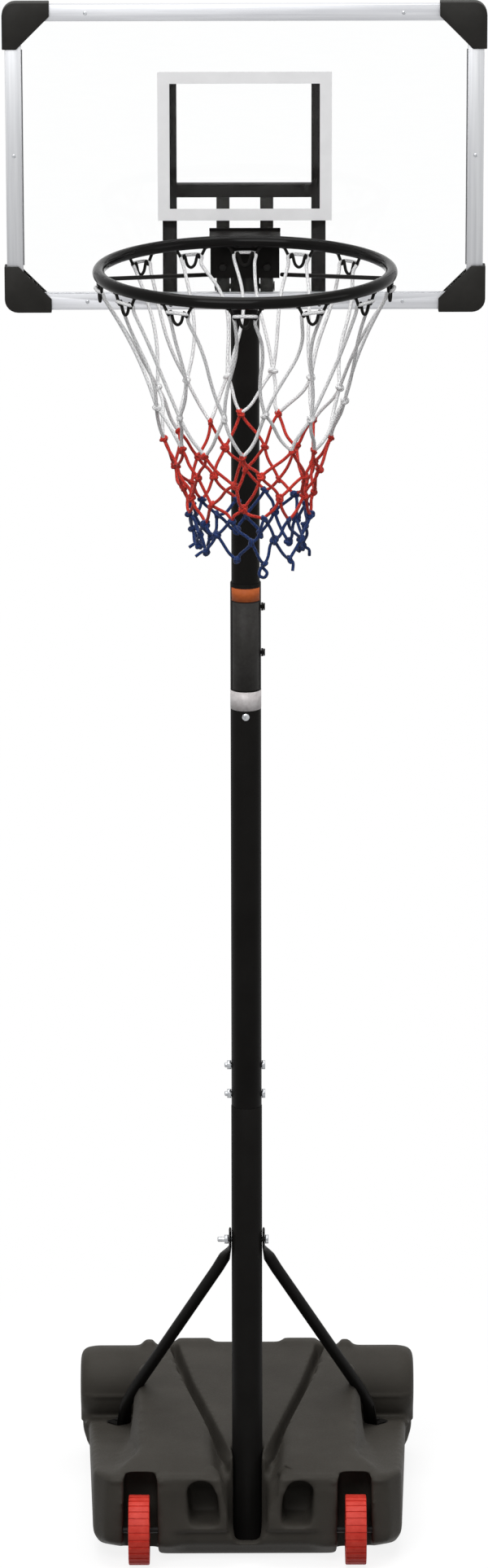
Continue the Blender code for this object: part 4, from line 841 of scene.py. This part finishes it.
def pole_tubes():
    inner = LOWER_R - TUBE_WALL
    neck = UPPER_R
    tube("lower_tube", "lower_pole", [
        (inner, FOOT_Z), (LOWER_R, FOOT_Z), (LOWER_R, SEAM_Z - 0.0014),
        (LOWER_R - 0.0006, SEAM_Z - 0.0004), (neck, SEAM_Z - 0.0003), (neck, NECK_TOP_Z),
        (neck - TUBE_WALL, NECK_TOP_Z), (neck - TUBE_WALL, SEAM_Z - 0.004),
        (inner, SEAM_Z - 0.008),
    ])
    inner = MIDDLE_R - TUBE_WALL
    tube("middle_tube", "middle_pole", [
        (inner, SEAM_Z), (MIDDLE_R - 0.0004, SEAM_Z), (MIDDLE_R, SEAM_Z + 0.0008),
        (MIDDLE_R, MIDDLE_TOP_Z - 0.0008), (MIDDLE_R - 0.0004, MIDDLE_TOP_Z),
        (inner, MIDDLE_TOP_Z),
    ])
    inner = UPPER_R - TUBE_WALL
    tube("upper_tube", "upper_pole", [
        (inner, UPPER_FOOT_Z), (UPPER_R, UPPER_FOOT_Z), (UPPER_R, POLE_TOP_Z - 0.0004),
        (UPPER_R - 0.0004, POLE_TOP_Z), (inner, POLE_TOP_Z),
    ])


def pole_plug():
    """Moulded plug in the top of the pole, with a thin lip over its edge."""
    top = POLE_TOP_Z
    bore = UPPER_R - TUBE_WALL
    lip = UPPER_R - 0.0002
    bm = turned([
        (0.0, top + 0.0010), (bore - 0.003, top + 0.0012), (UPPER_R - 0.0008, top + 0.0012),
        (lip, top + 0.0006), (lip, top + 0.0001), (bore - 0.0003, top + 0.0001),
        (bore - 0.0003, top - 0.014), (0.0, top - 0.014),
    ], 64, False)
    add_piece("pole_plug", bm, cap_plastic, ("pole_cap",), sharp=40)


def wrap(name, look, low, high, half_angle, lift):
    """A strip of film stuck round the front of the middle tube."""
    bm = bmesh.new()
    verts = [bm.verts.new((0.0, -(MIDDLE_R + lift), z)) for z in (low, high)]
    edge = bm.edges.new(verts)
    bmesh.ops.rotate(bm, verts=verts, cent=(0, 0, 0),
                     matrix=Matrix.Rotation(-math.radians(half_angle), 3, "Z"))
    bmesh.ops.spin(bm, geom=verts + [edge], cent=(0, 0, 0), axis=(0, 0, 1),
                   angle=math.radians(2 * half_angle), steps=64)
    bmesh.ops.recalc_face_normals(bm, faces=bm.faces)
    piece = add_piece(name, bm, look, body="stand")
    film = piece.modifiers.new("film", "SOLIDIFY")
    film.thickness = FILM_THICKNESS
    film.offset = 0.0


def pole_bands():
    for band in BANDS:
        wrap(*band)


def straight_strut(name):
    """The strut runs straight nearly down to the shelf before it bends to its flat foot."""
    bm = merged_copy(name)
    for vert in bm.verts:
        for middle, move in STRUT_RINGS:
            if (Vector((abs(vert.co.x), *vert.co.yz)) - Vector(middle)).length < STRUT_RING_REACH:
                vert.co += Vector((math.copysign(move[0], vert.co.x), *move[1:]))
                break
    add_piece(f"{name}_finished", bm, powder_coat, (name,), sharp=40)


# Ring and hooks

RING_Z = 2.1170
RING_Y = -0.3015
RING_RADIUS = 0.2130
RING_TUBE_R = 0.0090
# Angles of the hooks from the front of the ring, in degrees
HOOK_ANGLES = (0, 27, 54, 81, 134, 158, 180, 202, 226, 279, 306, 333)
HOOK_HALF = 0.0240
HOOK_TOP = RING_Z - RING_TUBE_R * 0.7
HOOK_DROP = 0.0270
HOOK_WIRE_R = 0.0023
# Half of a hook from the ring inwards: shares of its half width and of its drop. The cord rests
# in the notch
HOOK_NOTCH = (0.60, 0.62)
HOOK_LEG = ((1.0, 0.0), (0.80, 0.30), HOOK_NOTCH, (0.44, 0.40))
HOOK_BEND = (0.26, 0.18)
WELD_BEAD_R = 0.0030


def ring_point(angle, radius, z):
    """A point at an angle from the front of the ring."""
    turn = math.radians(angle)
    return Vector((radius * math.sin(turn), RING_Y - radius * math.cos(turn), z))


def ring_ways(angle):
    """The directions along the ring and towards its middle, at an angle from its front."""
    turn = math.radians(angle)
    return (Vector((math.cos(turn), math.sin(turn), 0)),
            Vector((-math.sin(turn), math.cos(turn), 0)))


def beside(angle, across, out, z):
    """A point beside a hook: across along the ring and out from its centre line."""
    return ring_point(angle, RING_RADIUS + out, z) + ring_ways(angle)[0] * across


def hook_line(angle):
    """The middle of a hook's wire, from one end on the ring to the other."""
    foot = RING_Z - RING_TUBE_R - HOOK_DROP
    legs = [(HOOK_HALF * wide, HOOK_TOP - HOOK_DROP * low) for wide, low in HOOK_LEG]
    legs.append((HOOK_HALF * HOOK_BEND[0], foot + HOOK_DROP * HOOK_BEND[1]))
    left = [beside(angle, -across, 0.0, z) for across, z in legs]
    right = [beside(angle, across, 0.0, z) for across, z in reversed(legs)]
    return eased_path(left + [beside(angle, 0.0, 0.0, foot)] + right, 4)


def enamelled_ring():
    """The bare ring, bent from one round bar."""
    bm = bmesh.new()
    circle = bmesh.ops.create_circle(bm, segments=24, radius=RING_TUBE_R)["verts"]
    upright = Matrix.Translation((RING_RADIUS, 0, 0)) @ Matrix.Rotation(math.pi / 2, 4, "X")
    bmesh.ops.transform(bm, matrix=upright, verts=circle)
    bmesh.ops.spin(bm, geom=circle + list(bm.edges), cent=(0, 0, 0), axis=(0, 0, 1),
                   angle=math.tau, steps=180, use_merge=True)
    bmesh.ops.recalc_face_normals(bm, faces=bm.faces)
    bm.transform(Matrix.Translation((0, RING_Y, RING_Z)))
    add_piece("enamelled_ring", bm, ring_enamel, ("rim_ring",), sharp=50)


def wire_hooks():
    """Twelve hooks of bent wire, each with a weld bead at either end."""
    bm = bmesh.new()
    for angle in HOOK_ANGLES:
        cord_tube(bm, hook_line(angle), HOOK_WIRE_R, 3)
        for side in (1, -1):
            bead = bmesh.new()
            bmesh.ops.create_uvsphere(bead, u_segments=12, v_segments=8, radius=WELD_BEAD_R)
            spot = beside(angle, side * HOOK_HALF, 0.0, RING_Z - RING_TUBE_R * 0.90)
            stamp(bm, bead, Matrix.Translation(spot) @ Matrix.Diagonal((1.2, 1.0, 0.7, 1.0)))
    add_piece("wire_hooks", bm, powder_coat, body="head", sharp=50)


# Net

NET_TOP = 2.0787
WHITE_CORD_R = 0.0026
CORD_R = 0.0024
# Rows of knots: drop below the hooks, share of the ring's radius
NET_ROWS = (
    (0.0000, 1.000), (0.1480, 0.695), (0.2060, 0.582), (0.2480, 0.516),
    (0.2850, 0.474), (0.3160, 0.437), (0.3440, 0.410), (0.3740, 0.384),
)
# The rows at which the red and the blue cord start
RED_ROW = 2
BLUE_ROW = 5
# How far the net hangs to the right at its foot
NET_LEAN = 0.004
SLACK = 0.0035
WHITE_SLACK = 0.0045
KNOT_R = 0.0028
KNOT_SWING = 0.0015
KNOT_LIFT = 0.0016
# Sideways swing of the cords that hang before the bracket, for a hook and its side
SWAYS = {(7, -1): 0.022, (6, 1): -0.016, (6, -1): -0.003}
# Short ends of cord below the lowest row: the knot, and where the end lies from it
LOOSE_ENDS = (
    (10, (-0.016, -0.004, -0.006)), (1, (0.004, -0.006, -0.016)), (3, (0.010, 0.0, -0.014)),
    (7, (-0.006, 0.006, -0.015)), (9, (-0.014, 0.004, -0.004)),
)
# A loop that hangs from the first knot of that row
END_LOOP = (
    (0, 0, 0), (-0.006, 0, -0.008), (-0.007, 0, -0.017), (0.0, 0, -0.020),
    (0.004, 0, -0.013), (-0.002, 0.002, -0.006),
)


def knot_angle(row, loop):
    """Angle of a knot: the rows even out from the hooks' places to equal steps."""
    count = len(HOOK_ANGLES)
    even = 360 / count
    blend = min(row / 3.0, 1.0)

    def at(index):
        turns, place = divmod(index, count)
        return (HOOK_ANGLES[place] + 360 * turns) * (1 - blend) + even * index * blend

    return at(loop) if row % 2 == 0 else (at(loop) + at(loop + 1)) / 2


def knot_spots():
    """Where every knot hangs, a little unevenly."""
    dice = random.Random(21)
    rows = []
    for row, (drop, share) in enumerate(NET_ROWS):
        spots = []
        for loop in range(len(HOOK_ANGLES)):
            angle = knot_angle(row, loop) + dice.uniform(-5.0, 5.0)
            radius = RING_RADIUS * share - CORD_R + dice.uniform(-0.006, 0.003)
            spot = ring_point(angle, radius, NET_TOP - drop + dice.uniform(-0.009, 0.007))
            spot.x += NET_LEAN * (1 - share) / 0.6
            spots.append(spot)
        rows.append(spots)
    return rows


def slack_line(start, end, dice, loose):
    """A cord between two spots that hangs a little slack."""
    bow = Vector([dice.uniform(-loose, loose) for _ in range(3)])
    wave = Vector([dice.uniform(-loose, loose) for _ in range(3)]) * 0.5
    line = []
    steps = 10
    for i in range(steps + 1):
        t = i / steps
        droop = Vector((0, 0, -0.4 * loose * math.sin(math.pi * t)))
        line.append(start.lerp(end, t) + bow * math.sin(math.pi * t)
                    + wave * math.sin(2 * math.pi * t) + droop)
    return line


def knot(bm, spot, dice, size):
    """A pulled-tight knot: a cord that winds three times round itself."""
    line = []
    steps = 30
    turn = (Matrix.Rotation(dice.uniform(0, math.tau), 3, "Z")
            @ Matrix.Rotation(dice.uniform(0.5, 2.6), 3, "X"))
    for i in range(steps + 1):
        a = math.tau * i / steps
        ring = (KNOT_R + KNOT_SWING * math.cos(3 * a)) * size
        line.append(spot + turn @ Vector((ring * math.cos(2 * a), ring * math.sin(2 * a),
                                          KNOT_LIFT * math.sin(3 * a))))
    cord_tube(bm, line, CORD_R * 0.95 * size)


def hooked_loop(bm, hook, rows, dice):
    """One cord from a knot up through both notches of a hook and down to the next knot."""
    angle = HOOK_ANGLES[hook]
    around, inward = ring_ways(angle)
    rest = HOOK_TOP - HOOK_DROP * HOOK_NOTCH[1] + HOOK_WIRE_R + WHITE_CORD_R
    across = HOOK_HALF * HOOK_NOTCH[0]
    out = WHITE_CORD_R + HOOK_WIRE_R
    over = [beside(angle, -across * 1.15, -0.002, rest - 0.003),
            beside(angle, -across * 0.85, out, rest),
            beside(angle, across * 0.85, out, rest),
            beside(angle, across * 1.15, -0.002, rest - 0.003)]
    ends = []
    for side, spot in ((-1, rows[1][hook - 1]), (1, rows[1][hook])):
        top = beside(angle, side * across, -0.006, rest - 0.014)
        sway = dice.uniform(-0.015, 0.003)
        swing = around * side * SWAYS.get((hook, side), sway) + inward * dice.uniform(-0.002, 0.008)
        second = around * dice.uniform(-0.006, 0.006)
        ends.append([top.lerp(spot, t) + swing * math.sin(math.pi * t)
                     + second * math.sin(2 * math.pi * t) for t in (0.0, 0.2, 0.4, 0.6, 0.8, 1.0)])
    cord_tube(bm, eased_path(ends[0][::-1] + over + ends[1], 4), WHITE_CORD_R)


def net_strip(bm, rows, row, dice, radius=CORD_R, loose=SLACK):
    """The cords between one row of knots and the next."""
    count = len(HOOK_ANGLES)
    for loop in range(count):
        below = (loop - 1, loop) if row % 2 == 0 else (loop, loop + 1)
        for other in below:
            line = slack_line(rows[row][loop], rows[row + 1][other % count], dice, loose)
            cord_tube(bm, line, radius)


def loose_ends(bm, knots, dice):
    """Short ends of cord left at the lowest knots, and one loop."""
    for place, way in LOOSE_ENDS:
        start = knots[place]
        end = start + Vector(way)
        curl = Vector((dice.uniform(-0.006, 0.006), dice.uniform(-0.006, 0.006), 0.004))
        cord_tube(bm, eased_path([start, start.lerp(end, 0.55) + curl, end], 5), CORD_R)
    cord_tube(bm, eased_path([knots[0] + Vector(step) for step in END_LOOP], 5), CORD_R)


def knotted_net():
    rows = knot_spots()
    dice = random.Random(5)
    white, red, blue = bmesh.new(), bmesh.new(), bmesh.new()
    for hook in range(len(HOOK_ANGLES)):
        hooked_loop(white, hook, rows, dice)
    net_strip(white, rows, 1, dice, WHITE_CORD_R, WHITE_SLACK)
    for row in range(RED_ROW, BLUE_ROW):
        net_strip(red, rows, row, dice)
    for row in range(BLUE_ROW, len(NET_ROWS) - 1):
        net_strip(blue, rows, row, dice)
    for row in range(1, len(NET_ROWS)):
        bm = white if row < RED_ROW else red if row < BLUE_ROW else blue
        for spot in rows[row]:
            knot(bm, spot, dice, dice.uniform(1.0, 1.3))
    loose_ends(blue, rows[-1], dice)
    add_piece("net_cords_white", white, white_cord, ("net_white",), sharp=80)
    add_piece("net_cords_red", red, red_cord, ("net_red",), sharp=80)
    add_piece("net_cords_blue", blue, blue_cord, ("net_blue",), sharp=80)


# Board

BAR_FACE_Y = -0.03975
# Places of the rivets, as (x, z)
RIVETS = (
    (-0.2355, 2.450), (-0.2355, 2.015), (0.2355, 2.450), (0.2355, 2.015), (-0.343, 2.236),
    (0.343, 2.236),
)
RIVET_PROFILE = (
    (0.0, 0.0002), (0.0010, 0.0003), (0.0014, 0.0008), (0.0024, 0.0006), (0.0030, 0.0),
    (0.0030, -0.0004), (0.0, -0.0004),
)


def bar_rivets():
    """Flat rivet heads on the bars' faces."""
    bm = bmesh.new()
    for x, z in RIVETS:
        place = Matrix.Translation((x, BAR_FACE_Y, z)) @ Matrix.Rotation(math.pi / 2, 4, "X")
        stamp(bm, turned(RIVET_PROFILE, 24, False), place)
    add_piece("bar_rivets", bm, zinc, body="head")


def small_bar(name, middle, size, bevel, look):
    """A short bar on the head with its edges taken off."""
    bm = bmesh.new()
    bmesh.ops.create_cube(bm, size=1.0)
    bm.transform(Matrix.Translation(middle) @ Matrix.Diagonal((*size, 1.0)))
    bmesh.ops.bevel(bm, geom=bm.edges[:], offset=bevel, segments=2, profile=0.5, affect="EDGES",
                    material=-1)
    add_piece(name, bm, look, body="head")


def bracket_lip():
    """The bracket's plate stands a little above its top flange."""
    small_bar("bracket_lip", (0, -0.0353, 2.1233), (0.1060, 0.0030, 0.0054), 0.0006, ring_enamel)


def shadow_line_strips():
    """A thin grey strip along the inner edge of each upright bar, where the sheet goes in: a
    painted shadow line.
    """
    for side, name in ((-1, "shadow_strip_left"), (1, "shadow_strip_right")):
        small_bar(name, (side * 0.3299, -0.0343, 2.2325), (0.0016, 0.0015, 0.325), 0.0004, shadow_strip_grey)


set_camera()
light_room()
lay_floor()
dress_nodes()
softened_tank()
tread_wheel(-1, "wheel_left")
tread_wheel(1, "wheel_right")
pole_tubes()
pole_plug()
pole_bands()
straight_strut("strut_left")
straight_strut("strut_right")
enamelled_ring()
wire_hooks()
knotted_net()
bar_rivets()
bracket_lip()
shadow_line_strips()
eased_nodes()
bpy.context.scene.view_settings.view_transform = "Standard"
